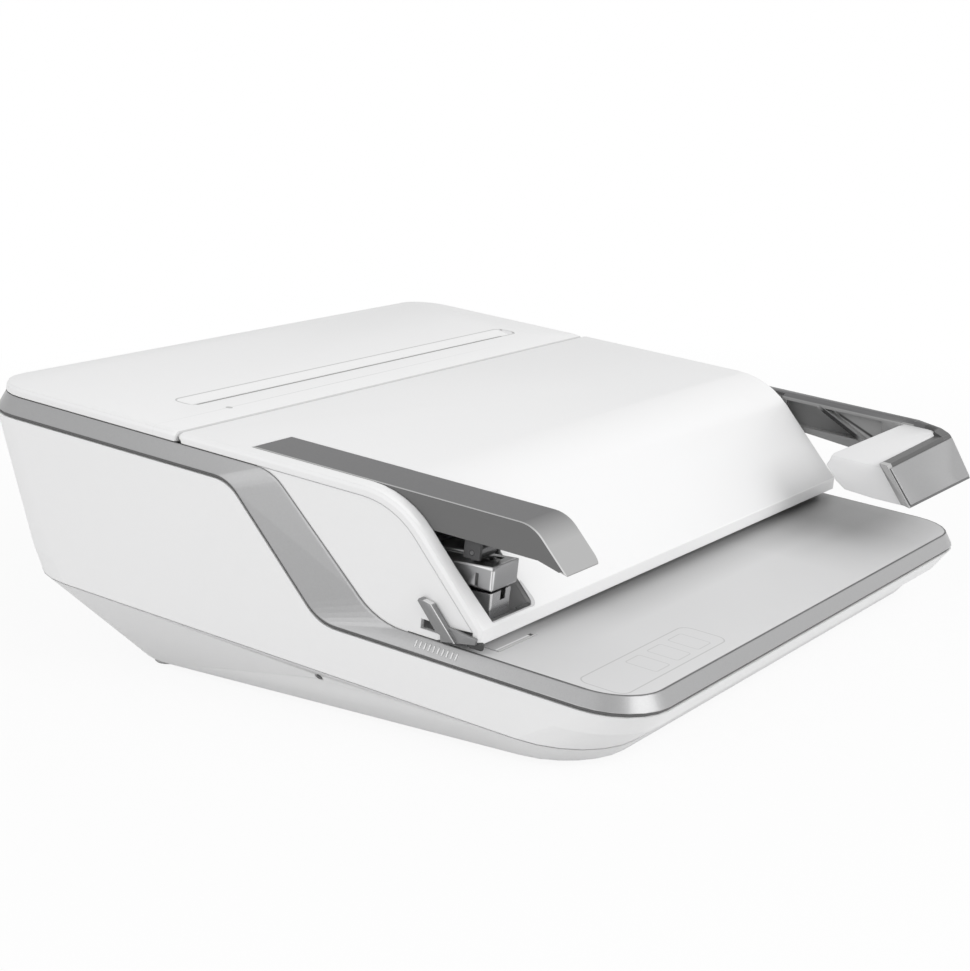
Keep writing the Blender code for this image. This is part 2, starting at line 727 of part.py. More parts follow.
def band_ring(inset, side):
    return plan_ring(TRAY_HALF_WIDTH + BAND_FLARE - inset, inset - BAND_FLARE, CASE_DEPTH + BAND_FLARE - inset,
                     FRONT_CORNER_RADIUS + BAND_FLARE - inset, REAR_CORNER_RADIUS + BAND_FLARE - inset, side)


def lid_corners():
    # the front slope rises at 45 degrees, so it runs back as far as it climbs
    bend_y = LID_FRONT_Y + TOP_HEIGHT - LID_FRONT_BOTTOM_Z - LID_STRIP_HEIGHT
    return [(LID_FRONT_Y, LID_FRONT_BOTTOM_Z), (LID_FRONT_Y, LID_FRONT_BOTTOM_Z + LID_STRIP_HEIGHT),
            (bend_y, TOP_HEIGHT), (LID_HINGE_Y, TOP_HEIGHT)]


def lid_run(depth):
    # the lid's side-view run at a depth below its skin, from the front strip back to the hinge
    corners = offset_corners(lid_corners(), -depth)
    foot = (corners[0][0], LID_FRONT_BOTTOM_Z)
    head = (LID_HINGE_Y, corners[-1][1])
    run = fillet_run([corners[1], corners[2], head], (LID_BEND_RADIUS - depth,))
    return [foot] + run


# Case

def build_lower_shell():
    crease_front = BOW_SETBACK - BAND_FLARE
    crease_rear = CASE_DEPTH + BAND_FLARE - REAR_LEAN
    top_drop = SEAM_HEIGHT + 2.0 * GAP
    top_side = band_lower_run(top_drop)
    half = TRAY_HALF_WIDTH + BAND_FLARE
    rear_lean_share = (BOW_MID_Z - CREASE_Z) / (top_side[-1][1] - CREASE_Z)
    mid_rear = crease_rear + REAR_LEAN * rear_lean_share

    def ring(inset, level):
        if level == "crease":
            side = [(y, CREASE_Z) for y, z in top_side]
            return plan_ring(half - inset, crease_front + inset, crease_rear - inset,
                             CREASE_FRONT_RADIUS - inset, CREASE_REAR_RADIUS - inset, side)
        if level == "floor":
            side = [(y, CREASE_Z + SHELL_FLOOR) for y, z in top_side]
            return plan_ring(half - inset, crease_front + inset, crease_rear - inset,
                             CREASE_FRONT_RADIUS - inset, CREASE_REAR_RADIUS - inset, side)
        if level == "bow":
            side = [(y, BOW_MID_Z) for y, z in top_side]
            front = BOW_MID_SETBACK - BAND_FLARE
            radius = (CREASE_FRONT_RADIUS + FRONT_CORNER_RADIUS + BAND_FLARE) / 2.0
            rear_radius = (CREASE_REAR_RADIUS + REAR_CORNER_RADIUS + BAND_FLARE) / 2.0
            return plan_ring(half - inset, front + inset, mid_rear - inset,
                             radius - inset, rear_radius - inset, side)
        return band_ring(inset, top_side)

    rings = [ring(0.0, "crease"), ring(0.0, "bow"), ring(0.0, "top"),
             ring(SHELL_WALL, "top"), ring(SHELL_WALL, "bow"), ring(SHELL_WALL, "floor")]
    shell = loft("lower_shell", rings, "white_plastic", "root")
    window_bottom = CREASE_Z + SHELL_FLOOR + GAP + CHASSIS_FLOOR
    window = box("tool_drawer_window",
                 (-DRAWER_HALF_WIDTH - GAP, crease_rear - SHELL_WALL - OVERRUN, window_bottom),
                 (DRAWER_HALF_WIDTH + GAP, CASE_DEPTH + OVERRUN, DRAWER_TOP_Z + GAP),
                 "white_plastic", "root")
    cut(shell, window)
    hole = cross_cylinder("tool_shaft_hole", SHAFT_Y, SHAFT_Z, SHAFT_RADIUS + GAP + GAP,
                          half - SHELL_WALL - OVERRUN, half + OVERRUN, "white_plastic", "root")
    cut(shell, hole)
    return shell


def build_seam_strip():
    upper = band_lower_run(GAP)
    lower = band_lower_run(GAP + SEAM_HEIGHT)
    rings = [band_ring(SEAM_INSET, lower), band_ring(SEAM_INSET, upper),
             band_ring(SEAM_INSET + SEAM_DEPTH, upper), band_ring(SEAM_INSET + SEAM_DEPTH, lower)]
    return loft("seam_strip", rings, "black_rubber", "root", closed=True)


def build_trim_band():
    upper = band_upper_run()
    lower = band_lower_run()

    def shifted(run, rise):
        return [(y, z + rise) for y, z in run]

    rings = [band_ring(0.0, lower),
             band_ring(BAND_FLARE, upper),
             band_ring(BAND_FLARE, shifted(upper, -BAND_REBATE)),
             band_ring(BAND_LEDGE_REACH, shifted(upper, -BAND_REBATE)),
             band_ring(BAND_LEDGE_REACH, shifted(upper, -BAND_REBATE - BAND_LEDGE_THICKNESS)),
             band_ring(BAND_WALL, shifted(lower, BAND_FOOT_HEIGHT)),
             band_ring(BAND_WALL, lower)]
    band = loft("trim_band", rings, "silver_paint", "root", closed=True)
    smooth_round(band)
    return band


def build_base_pan():
    half = TRAY_HALF_WIDTH + BAND_FLARE
    front = BOW_SETBACK - BAND_FLARE
    rear = CASE_DEPTH + BAND_FLARE - REAR_LEAN
    top = CREASE_Z - GAP

    def upper_ring(inset):
        span = rear - CREASE_REAR_RADIUS - front - CREASE_FRONT_RADIUS
        side = [(front + CREASE_FRONT_RADIUS + span * share, top) for share in PAN_SIDE_SHARES]
        return plan_ring(half - inset, front + inset, rear - inset,
                         CREASE_FRONT_RADIUS - inset, CREASE_REAR_RADIUS - inset, side)

    def lower_ring(inset, lift):
        low_front = front + PAN_FRONT_SETBACK + inset
        low_rear = rear - PAN_REAR_SETBACK - inset
        span = low_rear - low_front - PAN_FRONT_RADIUS - PAN_REAR_RADIUS
        side = [(low_front + PAN_FRONT_RADIUS + span * share, top) for share in PAN_SIDE_SHARES]
        flat = plan_ring(half, low_front, low_rear, PAN_FRONT_RADIUS - inset, PAN_REAR_RADIUS - inset, side)
        shaped = []
        for x, y, z in flat:
            floor_z = pan_z(y, lift)
            undercut = (top - floor_z) * PAN_UNDERCUT_SHARE + inset
            shaped.append((x * (half - undercut) / half, y, floor_z))
        return shaped

    rings = [lower_ring(0.0, 0.0), upper_ring(0.0), upper_ring(PAN_WALL), lower_ring(PAN_WALL, PAN_WALL)]
    return loft("base_pan", rings, "white_plastic", "root")


def level_disc(name, x, y, top, radii, heights, paint, sides=20):
    # a turned piece with an upright axis in the world, hanging below a level plane
    rings = []
    for radius, height in zip(radii, heights):
        ring = []
        for index in range(sides):
            angle = 2.0 * math.pi * index / sides
            deck_y, deck_z = level_to_deck(y + radius * math.sin(angle), top - height)
            ring.append((x + radius * math.cos(angle), deck_y, deck_z))
        rings.append(ring)
    piece = loft(name, rings, paint, "root")
    smooth_round(piece)
    return piece


def foot_places():
    rear_x = TRAY_HALF_WIDTH - FOOT_REAR_SIDE_MARGIN
    rear_y = CASE_DEPTH + BAND_FLARE - REAR_LEAN - PAN_REAR_SETBACK - FOOT_REAR_MARGIN
    front_x = TRAY_HALF_WIDTH - FOOT_FRONT_SIDE_MARGIN
    front_y = BOW_SETBACK - BAND_FLARE + PAN_FRONT_SETBACK + FOOT_FRONT_MARGIN
    return {"foot_rear_left": (-rear_x, rear_y), "foot_rear_right": (rear_x, rear_y),
            "foot_front_left": (-front_x, front_y), "foot_front_right": (front_x, front_y)}


def build_feet_and_screws():
    top = PAN_LEVEL_Z - GAP
    for name, (x, y) in foot_places().items():
        level_y = y * math.cos(DECK_SLOPE) - pan_z(y) * math.sin(DECK_SLOPE)
        level_disc(name, x, level_y, top, (FOOT_RADIUS, FOOT_RADIUS, FOOT_RADIUS - FOOT_CHAMFER),
                   (0.0, FOOT_HEIGHT - FOOT_CHAMFER, FOOT_HEIGHT), "black_rubber")
        inward = -1.0 if x > 0.0 else 1.0
        screw_x = x + inward * SCREW_FROM_FOOT
        screw = level_disc(name.replace("foot", "case_screw"), screw_x, level_y, top,
                           (SCREW_HEAD_RADIUS, SCREW_HEAD_RADIUS), (0.0, SCREW_HEAD_HEIGHT), "plated_steel")
        low_y, low_z = level_to_deck(level_y, top - SCREW_HEAD_HEIGHT)
        for turn, (reach_x, reach_y) in enumerate(((SCREW_HEAD_RADIUS, SCREW_SLOT_WIDTH),
                                                   (SCREW_SLOT_WIDTH, SCREW_HEAD_RADIUS))):
            slot = box("tool_" + screw.name + "_slot" + str(turn),
                       (screw_x - reach_x / 2.0, low_y - reach_y / 2.0, low_z - SCREW_SLOT_DEPTH),
                       (screw_x + reach_x / 2.0, low_y + reach_y / 2.0, low_z + SCREW_SLOT_DEPTH),
                       "plated_steel", "root")
            cut(screw, slot)


def build_work_tray():
    half = TRAY_HALF_WIDTH - GAP
    narrow = TRAY_HALF_WIDTH + BAND_FLARE - BAND_LEDGE_REACH - GAP
    radius = FRONT_CORNER_RADIUS - GAP
    right = []
    for step in range(CORNER_STEPS + 1):
        angle = math.pi / 2.0 * step / CORNER_STEPS
        right.append((half - radius * (1.0 - math.sin(angle)), GAP + radius * (1.0 - math.cos(angle))))
    right += [(half, tray_narrow_y()), (narrow, tray_narrow_y()), (narrow, LID_REAR_Y - TRAY_REAR_MARGIN)]
    outline = right + [(-x, y) for x, y in reversed(right)]
    rings = [[(x, y, z) for x, y in outline] for z in (-TRAY_THICKNESS, 0.0)]
    tray = loft("work_tray", rings, "tray_grey", "root")
    seat = box("tool_anvil_seat",
               (ANVIL_LEFT_X - GAP, ANVIL_FRONT_Y - GAP, ANVIL_PROUD - ANVIL_THICKNESS - GAP),
               (ANVIL_LEFT_X + ANVIL_WIDTH + GAP, ANVIL_FRONT_Y + ANVIL_LENGTH + GAP, OVERRUN),
               "tray_grey", "root")
    cut(tray, seat)
    return tray


def build_anvil():
    anvil = box("staple_anvil", (ANVIL_LEFT_X, ANVIL_FRONT_Y, ANVIL_PROUD - ANVIL_THICKNESS),
                (ANVIL_LEFT_X + ANVIL_WIDTH, ANVIL_FRONT_Y + ANVIL_LENGTH, ANVIL_PROUD), "plated_steel", "root")
    groove = box("tool_anvil_groove",
                 (LEVER_CENTRE_X - ANVIL_GROOVE_WIDTH / 2.0, ANVIL_GROOVE_Y, ANVIL_PROUD - ANVIL_GROOVE_DEPTH),
                 (LEVER_CENTRE_X + ANVIL_GROOVE_WIDTH / 2.0, ANVIL_GROOVE_Y + ANVIL_GROOVE_LENGTH,
                  ANVIL_PROUD + OVERRUN), "plated_steel", "root")
    cut(anvil, groove)
    return anvil


def cheek_outline(front_points):
    lap = [(y, z - BAND_REBATE + GAP) for y, z in band_upper_run()]
    narrow = tray_narrow_y() + GAP
    lap = [point for point in lap if point[0] > narrow + GAP]
    upper = lid_run(RIM_HEIGHT + GAP)[1:-1]
    top = [point for point in upper if point[1] > LID_FRONT_BOTTOM_Z + CHEEK_TIP_HEIGHT]
    rear = [(lap[-1][0], TOP_HEIGHT - RIM_HEIGHT - GAP)]
    return front_points + [(narrow, GAP), (narrow, -BAND_REBATE + GAP)] + lap + rear + list(reversed(top))


def cheek_tip():
    # where the cheek's slope edge meets its front tip height
    slope = lid_run(RIM_HEIGHT + GAP)[1:3]
    tip_z = LID_FRONT_BOTTOM_Z + CHEEK_TIP_HEIGHT
    share = (tip_z - slope[0][1]) / (slope[1][1] - slope[0][1])
    return (slope[0][0] + share * (slope[1][0] - slope[0][0]), tip_z)


def build_cheeks():
    outer = TRAY_HALF_WIDTH - GAP
    tip = cheek_tip()
    slot_top = CHEEK_NOTCH_Z + DEPTH_SLOT_HEIGHT
    notched = [tip, (CHEEK_NOTCH_FRONT_Y, slot_top), (CHEEK_NOTCH_FRONT_Y, CHEEK_NOTCH_Z), (CHEEK_FOOT_Y, GAP)]
    left = side_prism("left_cheek", cheek_outline(notched), -outer, CHEEK_WALL - outer, "white_plastic", "root")
    slot = box("tool_depth_slot", (-outer - OVERRUN, CHEEK_NOTCH_FRONT_Y - OVERRUN, CHEEK_NOTCH_Z),
               (CHEEK_WALL - outer + OVERRUN, DEPTH_SLOT_REAR_Y, slot_top), "white_plastic", "root")
    cut(left, slot)
    plain = [tip, (CHEEK_FRONT_Y, GAP)]
    side_prism("right_cheek", cheek_outline(plain), outer - CHEEK_WALL, outer, "white_plastic", "root")


def build_rear_cover():
    front = LID_REAR_Y + LID_PARTING
    bottom = TOP_HEIGHT - RIM_HEIGHT
    radius = COVER_EDGE_RADIUS
    front_radius = COVER_EDGE_RADIUS
    side_ys = (SLOT_FRONT_Y, SLOT_FRONT_Y + LEADIN_LENGTH)

    def ring(inset, z):
        side = [(y, z) for y in side_ys]
        return plan_ring(TRAY_HALF_WIDTH - inset, front + inset, CASE_DEPTH - inset,
                         front_radius, REAR_CORNER_RADIUS - inset, side)

    rings = [ring(0.0, bottom), ring(0.0, TOP_HEIGHT - radius),
             ring(radius * EDGE_HALF_SHARE, TOP_HEIGHT - radius * EDGE_HALF_SHARE), ring(radius, TOP_HEIGHT)]
    cover = loft("rear_top_cover", rings, "white_plastic", "root")
    inner_half = TRAY_HALF_WIDTH - COVER_WALL
    bar_front = SLOT_FRONT_Y - SLOT_BAR_MARGIN
    bar_rear = SLOT_FRONT_Y + SLOT_GAP + LEADIN_LENGTH + SLOT_BAR_MARGIN
    pocket_top = TOP_HEIGHT - COVER_WALL
    front_pocket = box("tool_cover_front_pocket", (-inner_half, front + COVER_WALL, bottom - OVERRUN),
                       (inner_half, bar_front, pocket_top), "white_plastic", "root")
    cut(cover, front_pocket)
    rear_side = [(bar_rear + (CASE_DEPTH - REAR_CORNER_RADIUS - bar_rear) / 2.0, 0.0)]

    def pocket_ring(z):
        side = [(y, z) for y, flat in rear_side]
        return plan_ring(inner_half, bar_rear, CASE_DEPTH - COVER_WALL, COVER_WALL,
                         REAR_CORNER_RADIUS - COVER_WALL, side)

    rear_pocket = loft("tool_cover_rear_pocket", [pocket_ring(bottom - OVERRUN), pocket_ring(pocket_top)],
                       "white_plastic", "root")
    cut(cover, rear_pocket)
    slot_left = SLOT_CENTRE_X - SLOT_WIDTH / 2.0
    slot_right = SLOT_CENTRE_X + SLOT_WIDTH / 2.0
    slot = box("tool_paper_slot", (slot_left, SLOT_FRONT_Y, bottom - OVERRUN),
               (slot_right, SLOT_FRONT_Y + SLOT_GAP, TOP_HEIGHT + OVERRUN), "white_plastic", "root")
    cut(cover, slot)
    rise = LEADIN_DEPTH / LEADIN_LENGTH
    outline = [(SLOT_FRONT_Y, TOP_HEIGHT - LEADIN_DEPTH), (SLOT_FRONT_Y + SLOT_GAP, TOP_HEIGHT - LEADIN_DEPTH),
               (SLOT_FRONT_Y + SLOT_GAP + LEADIN_LENGTH + OVERRUN, TOP_HEIGHT + OVERRUN * rise),
               (SLOT_FRONT_Y, TOP_HEIGHT + OVERRUN * rise)]
    leadin = side_prism("tool_slot_leadin", outline, slot_left - LEADIN_LEFT, slot_right + LEADIN_RIGHT,
                        "white_plastic", "root")
    cut(cover, leadin)
    return cover


# Lid and what it carries

def lid_ring(outer, inner):
    # one cross-section of the lid: an outer and an inner side-view point give its height at any depth
    def at(depth):
        share = depth / RIM_HEIGHT
        return (outer[0] + (inner[0] - outer[0]) * share, outer[1] + (inner[1] - outer[1]) * share)

    half = TRAY_HALF_WIDTH
    radius = LID_EDGE_RADIUS
    soft = radius * EDGE_HALF_SHARE
    steps = ((half, RIM_HEIGHT), (half, radius), (half - soft, soft), (half - radius, 0.0))
    right = [(x, *at(depth)) for x, depth in steps]
    return right + [(-x, y, z) for x, y, z in reversed(right)]


def build_lid():
    outer = lid_run(0.0)
    inner = lid_run(RIM_HEIGHT)
    rings = [lid_ring(a, b) for a, b in zip(outer, inner)]
    axis_z = TOP_HEIGHT - LID_HINGE_RADIUS
    for angle_share, lift_share in LID_TAIL_SHARES:
        angle = LID_TAIL_TURN * angle_share
        back = (LID_HINGE_Y + LID_HINGE_RADIUS * math.sin(angle), axis_z + LID_HINGE_RADIUS * math.cos(angle))
        under = (LID_HINGE_Y + (back[0] - LID_HINGE_Y) * lift_share,
                 TOP_HEIGHT - RIM_HEIGHT + (back[1] - TOP_HEIGHT + RIM_HEIGHT) * lift_share)
        rings.append(lid_ring(back, under))
    lid = loft("lid", rings, "white_plastic", "lid")
    ceiling = lid_run(LID_WALL)
    below = lid_run(RIM_HEIGHT + OVERRUN)
    bar_y = LID_HINGE_Y - LID_BAR_LENGTH
    pocket_outline = [(y, z) for y, z in ceiling[:-1]] + [(bar_y, ceiling[-1][1]), (bar_y, below[-1][1])] \
        + [(y, z) for y, z in reversed(below[:-1])]
    floor_z = LID_FRONT_BOTTOM_Z - OVERRUN
    pocket_outline[0] = (pocket_outline[0][0], floor_z)
    pocket_outline[-1] = (pocket_outline[-1][0], floor_z)
    inner_half = TRAY_HALF_WIDTH - LID_WALL
    pocket = side_prism("tool_lid_pocket", pocket_outline, -inner_half, inner_half, "white_plastic", "lid")
    cut(lid, pocket)
    lever_half = LEVER_WIDTH / 2.0 + GAP
    slot = box("tool_lever_slot", (LEVER_CENTRE_X - lever_half, LID_SLOT_FRONT_Y, BRACKET_BOTTOM_Z),
               (LEVER_CENTRE_X + lever_half, LEVER_REAR_Y + GAP, TOP_HEIGHT + OVERRUN), "white_plastic", "lid")
    cut(lid, slot)
    window_right = LEVER_CENTRE_X + LID_WINDOW_RIGHT
    outline = [(LEVER_CENTRE_X - LID_WINDOW_LEFT, LID_WINDOW_FRONT_Y), (window_right, LID_WINDOW_FRONT_Y),
               (window_right, LID_WINDOW_REAR_Y), (LEVER_CENTRE_X - lever_half, LID_WINDOW_REAR_Y),
               (LEVER_CENTRE_X - lever_half, LID_SLOT_FRONT_Y)]
    window_rings = [[(x, y, z) for x, y in outline] for z in (LID_WINDOW_SILL_Z, TOP_HEIGHT)]
    cut(lid, loft("tool_stapler_window", window_rings, "white_plastic", "lid"))
    head_half = HEAD_WIDTH / 2.0 + GAP
    relief = box("tool_head_relief",
                 (LEVER_CENTRE_X - head_half, HEAD_FRONT_Y - HEAD_SWING_ROOM, LID_WINDOW_SILL_Z - HEAD_SWING_ROOM),
                 (LEVER_CENTRE_X + head_half, LID_WINDOW_REAR_Y, LID_WINDOW_SILL_Z + HEAD_SWING_ROOM),
                 "white_plastic", "lid")
    cut(lid, relief)
    ear_x = CHASSIS_SIDE_X + CHASSIS_SHEET / 2.0
    notch_half = CHASSIS_SHEET / 2.0 + GAP
    reach = HINGE_EAR_RADIUS + HINGE_NOTCH_CLEARANCE - GAP
    for side in (-1.0, 1.0):
        label = "left" if side < 0.0 else "right"
        notch = box("tool_hinge_notch_" + label,
                    (side * ear_x - notch_half, LID_HINGE_Y - reach, TOP_HEIGHT - RIM_HEIGHT - OVERRUN),
                    (side * ear_x + notch_half, LID_REAR_Y + OVERRUN, axis_z + HINGE_EAR_RADIUS + GAP),
                    "white_plastic", "lid")
        cut(lid, notch)
        bore = cross_cylinder("tool_hinge_bore_" + label, LID_HINGE_Y, axis_z, HINGE_PIN_RADIUS + RUN_GAP,
                              side * ear_x - HINGE_PIN_LENGTH / 2.0 - GAP,
                              side * ear_x + HINGE_PIN_LENGTH / 2.0 + GAP, "white_plastic", "lid", sides=12)
        cut(lid, bore)
    return lid


def build_hinge_pins():
    axis_z = TOP_HEIGHT - LID_HINGE_RADIUS
    ear_x = CHASSIS_SIDE_X + CHASSIS_SHEET / 2.0
    for side in (-1.0, 1.0):
        label = "left" if side < 0.0 else "right"
        cross_cylinder("hinge_pin_" + label, LID_HINGE_Y, axis_z, HINGE_PIN_RADIUS,
                       side * ear_x - HINGE_PIN_LENGTH / 2.0, side * ear_x + HINGE_PIN_LENGTH / 2.0,
                       "bright_steel", "root", sides=12)


def build_stapler_bracket():
    wall_top = TOP_HEIGHT - BRACKET_TOP_DROP
    seat = TOP_HEIGHT - LID_WALL - GAP
    left = LEVER_CENTRE_X - BRACKET_HALF_WIDTH
    right = LEVER_CENTRE_X + BRACKET_HALF_WIDTH
    rear = BRACKET_REAR_Y
    eye = LEVER_PIVOT_Y - BRACKET_EYE
    outline = [(BRACKET_FRONT_Y, BRACKET_BOTTOM_Z), (rear, BRACKET_BOTTOM_Z), (rear, seat - BRACKET_WALL),
               (rear + BRACKET_FLANGE_LENGTH, seat - BRACKET_WALL), (rear + BRACKET_FLANGE_LENGTH, seat),
               (LEVER_REAR_Y + GAP + GAP, seat), (LEVER_REAR_Y + GAP + GAP, wall_top),
               (eye, wall_top), (eye - BRACKET_EYE, wall_top - BRACKET_EYE),
               (BRACKET_FRONT_Y, BRACKET_BOTTOM_Z + MAG_HEIGHT + MAG_HEIGHT)]
    bracket = side_prism("stapler_bracket", outline, left, right, "plated_steel", "lid")
    hollow = box("tool_bracket_hollow",
                 (left + BRACKET_WALL, BRACKET_FRONT_Y - OVERRUN, BRACKET_BOTTOM_Z - OVERRUN),
                 (right - BRACKET_WALL, rear - BRACKET_WALL, TOP_HEIGHT), "plated_steel", "lid")
    cut(bracket, hollow)
    for label, axis, radius in (("lever", LEVER_AXIS, LEVER_PIN_RADIUS), ("arm", ARM_AXIS, ARM_PIN_RADIUS)):
        hole = cross_cylinder("tool_bracket_hole_" + label, axis.y, axis.z, radius + RUN_GAP, left - OVERRUN,
                              right + OVERRUN, "plated_steel", "lid", sides=16)
        cut(bracket, hole)
    return bracket


def build_stapler_pins():
    half = LEVER_WIDTH / 2.0 - GAP
    cross_cylinder("lever_pivot_pin", LEVER_AXIS.y, LEVER_AXIS.z, LEVER_PIN_RADIUS, LEVER_CENTRE_X - half,
                   LEVER_CENTRE_X + half, "bright_steel", "lid", sides=16)
    arm_half = BRACKET_HALF_WIDTH + LEVER_SIDE_WALL / 2.0
    cross_cylinder("arm_pivot_pin", ARM_AXIS.y, ARM_AXIS.z, ARM_PIN_RADIUS, LEVER_CENTRE_X - arm_half,
                   LEVER_CENTRE_X + arm_half, "bright_steel", "lid", sides=16)


def build_stapler_lever():
    top = TOP_HEIGHT
    under = TOP_HEIGHT - LEVER_DEPTH
    half = LEVER_WIDTH / 2.0
    nose = fillet_run([(LEVER_NOSE_Y, LEVER_NOSE_BOTTOM_Z), (LEVER_NOSE_Y + LEVER_NOSE_RUN, top),
                       (LEVER_REAR_Y, top)], (LEVER_NOSE_RADIUS,))
    rear = [(LEVER_REAR_Y - LEVER_TOP_WALL / 2.0, top - LEVER_DEPTH / 2.0),
            (LEVER_REAR_Y - LEVER_HEEL, under + LEVER_TOP_WALL), (LEVER_REAR_Y - LEVER_DEPTH / 2.0, under)]
    chin = [(LEVER_NOSE_Y + LEVER_DEPTH, under),
            (LEVER_NOSE_Y + LEVER_HEEL, LEVER_NOSE_BOTTOM_Z + LEVER_TOP_WALL / 2.0)]
    lever = side_prism("stapler_lever", nose + rear + chin, LEVER_CENTRE_X - half, LEVER_CENTRE_X + half,
                       "dark_grey_plastic", "stapler_lever")
    inner_half = half - LEVER_SIDE_WALL
    hollow = box("tool_lever_hollow",
                 (LEVER_CENTRE_X - inner_half, LEVER_NOSE_Y + LEVER_NOSE_RUN + LEVER_NOSE_WALL, under - OVERRUN),
                 (LEVER_CENTRE_X + inner_half, LEVER_REAR_Y + OVERRUN, top - LEVER_TOP_WALL),
                 "dark_grey_plastic", "stapler_lever")
    cut(lever, hollow)
    axle_z = roller_height()
    tab_x = ROLLER_WIDTH / 2.0 + GAP
    tab_bottom = axle_z - ROLLER_AXLE_RADIUS - ROLLER_TAB_THICKNESS
    for side in (-1.0, 1.0):
        label = "left" if side < 0.0 else "right"
        inside = LEVER_CENTRE_X + side * tab_x
        outside = LEVER_CENTRE_X + side * (tab_x + ROLLER_TAB_THICKNESS)
        tab = box("tool_roller_tab_" + label, (min(inside, outside), ROLLER_Y - ROLLER_TAB_HALF, tab_bottom),
                  (max(inside, outside), ROLLER_Y + ROLLER_TAB_HALF, top - LEVER_TOP_WALL / 2.0),
                  "dark_grey_plastic", "stapler_lever")
        fuse(lever, tab)
    axle = cross_cylinder("tool_roller_axle_hole", ROLLER_Y, axle_z, ROLLER_AXLE_RADIUS + RUN_GAP,
                          LEVER_CENTRE_X - tab_x - ROLLER_TAB_THICKNESS - GAP,
                          LEVER_CENTRE_X + tab_x + ROLLER_TAB_THICKNESS + GAP, "dark_grey_plastic",
                          "stapler_lever", sides=12)
    cut(lever, axle)
    bore = cross_cylinder("tool_lever_bore", LEVER_AXIS.y, LEVER_AXIS.z, LEVER_PIN_RADIUS + RUN_GAP,
                          LEVER_CENTRE_X - half - OVERRUN, LEVER_CENTRE_X + half + OVERRUN,
                          "dark_grey_plastic", "stapler_lever", sides=16)
    cut(lever, bore)
    return lever


def driver_top_z(y):
    share = (y - HEAD_FRONT_Y) / (DRIVER_REAR_Y - HEAD_FRONT_Y)
    return HEAD_TOP_Z + (DRIVER_REAR_TOP_Z - HEAD_TOP_Z) * share


def roller_height():
    return driver_top_z(ROLLER_Y) + ROLLER_RADIUS + GAP + GAP


def build_press_roller():
    axle_z = roller_height()
    roller = cross_cylinder("press_roller", ROLLER_Y, axle_z, ROLLER_RADIUS, LEVER_CENTRE_X - ROLLER_WIDTH / 2.0,
                            LEVER_CENTRE_X + ROLLER_WIDTH / 2.0, "bright_steel", "stapler_lever")
    reach = ROLLER_WIDTH / 2.0 + GAP + ROLLER_TAB_THICKNESS
    axle = cross_cylinder("tool_roller_axle", ROLLER_Y, axle_z, ROLLER_AXLE_RADIUS, LEVER_CENTRE_X - reach,
                          LEVER_CENTRE_X + reach, "bright_steel", "stapler_lever", sides=12)
    fuse(roller, axle)
    return roller


def build_driver_arm():
    half = HEAD_WIDTH / 2.0
    front_bottom = HEAD_TOP_Z - HEAD_FRONT_DROP
    rear_top = DRIVER_REAR_TOP_Z
    outline = [(HEAD_FRONT_Y, front_bottom), (HEAD_FRONT_Y, HEAD_TOP_Z), (DRIVER_REAR_Y, rear_top),
               (DRIVER_REAR_Y, ARM_PIVOT_Z - DRIVER_LUG_RADIUS), (ARM_PIVOT_Y - DRIVER_LUG_RADIUS,
                                                                ARM_PIVOT_Z - DRIVER_LUG_RADIUS),
               (BRACKET_FRONT_Y, driver_top_z(BRACKET_FRONT_Y) - DRIVER_SIDE_DROP),
               (HEAD_FRONT_Y + HEAD_LENGTH, driver_top_z(HEAD_FRONT_Y + HEAD_LENGTH) - DRIVER_SIDE_DROP),
               (HEAD_FRONT_Y + HEAD_LENGTH, front_bottom)]
    arm = side_prism("driver_arm", outline, LEVER_CENTRE_X - half, LEVER_CENTRE_X + half, "bright_steel",
                     "driver_arm")
    soften(arm, GAP + GAP, 1)
    inner = half - DRIVER_WALL
    low = ARM_PIVOT_Z - DRIVER_LUG_RADIUS - OVERRUN
    hollow_outline = [(HEAD_FRONT_Y + DRIVER_WALL, low), (HEAD_FRONT_Y + DRIVER_WALL, HEAD_TOP_Z - DRIVER_WALL),
                      (DRIVER_REAR_Y + OVERRUN, driver_top_z(DRIVER_REAR_Y + OVERRUN) - DRIVER_WALL),
                      (DRIVER_REAR_Y + OVERRUN, low)]
    hollow = side_prism("tool_driver_hollow", hollow_outline, LEVER_CENTRE_X - inner, LEVER_CENTRE_X + inner,
                        "bright_steel", "driver_arm")
    cut(arm, hollow)
    bore = cross_cylinder("tool_driver_bore", ARM_AXIS.y, ARM_AXIS.z, ARM_PIN_RADIUS + RUN_GAP,
                          LEVER_CENTRE_X - half - OVERRUN, LEVER_CENTRE_X + half + OVERRUN, "bright_steel",
                          "driver_arm", sides=16)
    cut(arm, bore)
    hole_y = HEAD_FRONT_Y + HEAD_LENGTH / 2.0
    for index, side in enumerate((-1.0, 1.0)):
        x = LEVER_CENTRE_X + side * half / 2.0
        hole = box("tool_head_hole" + str(index), (x - DRIVER_HOLE_HALF, hole_y - DRIVER_HOLE_HALF,
                                                   HEAD_TOP_Z - OVERRUN),
                   (x + DRIVER_HOLE_HALF, hole_y + DRIVER_HOLE_HALF, HEAD_TOP_Z + OVERRUN), "bright_steel",
                   "driver_arm")
        cut(arm, hole)
    return arm


def build_driver_blade():
    front = HEAD_FRONT_Y + BLADE_SETBACK
    top = driver_top_z(front) - DRIVER_WALL - GAP
    return box("driver_blade", (LEVER_CENTRE_X - BLADE_WIDTH / 2.0, front, top - BLADE_LENGTH),
               (LEVER_CENTRE_X + BLADE_WIDTH / 2.0, front + BLADE_THICKNESS, top), "bright_steel", "driver_arm")


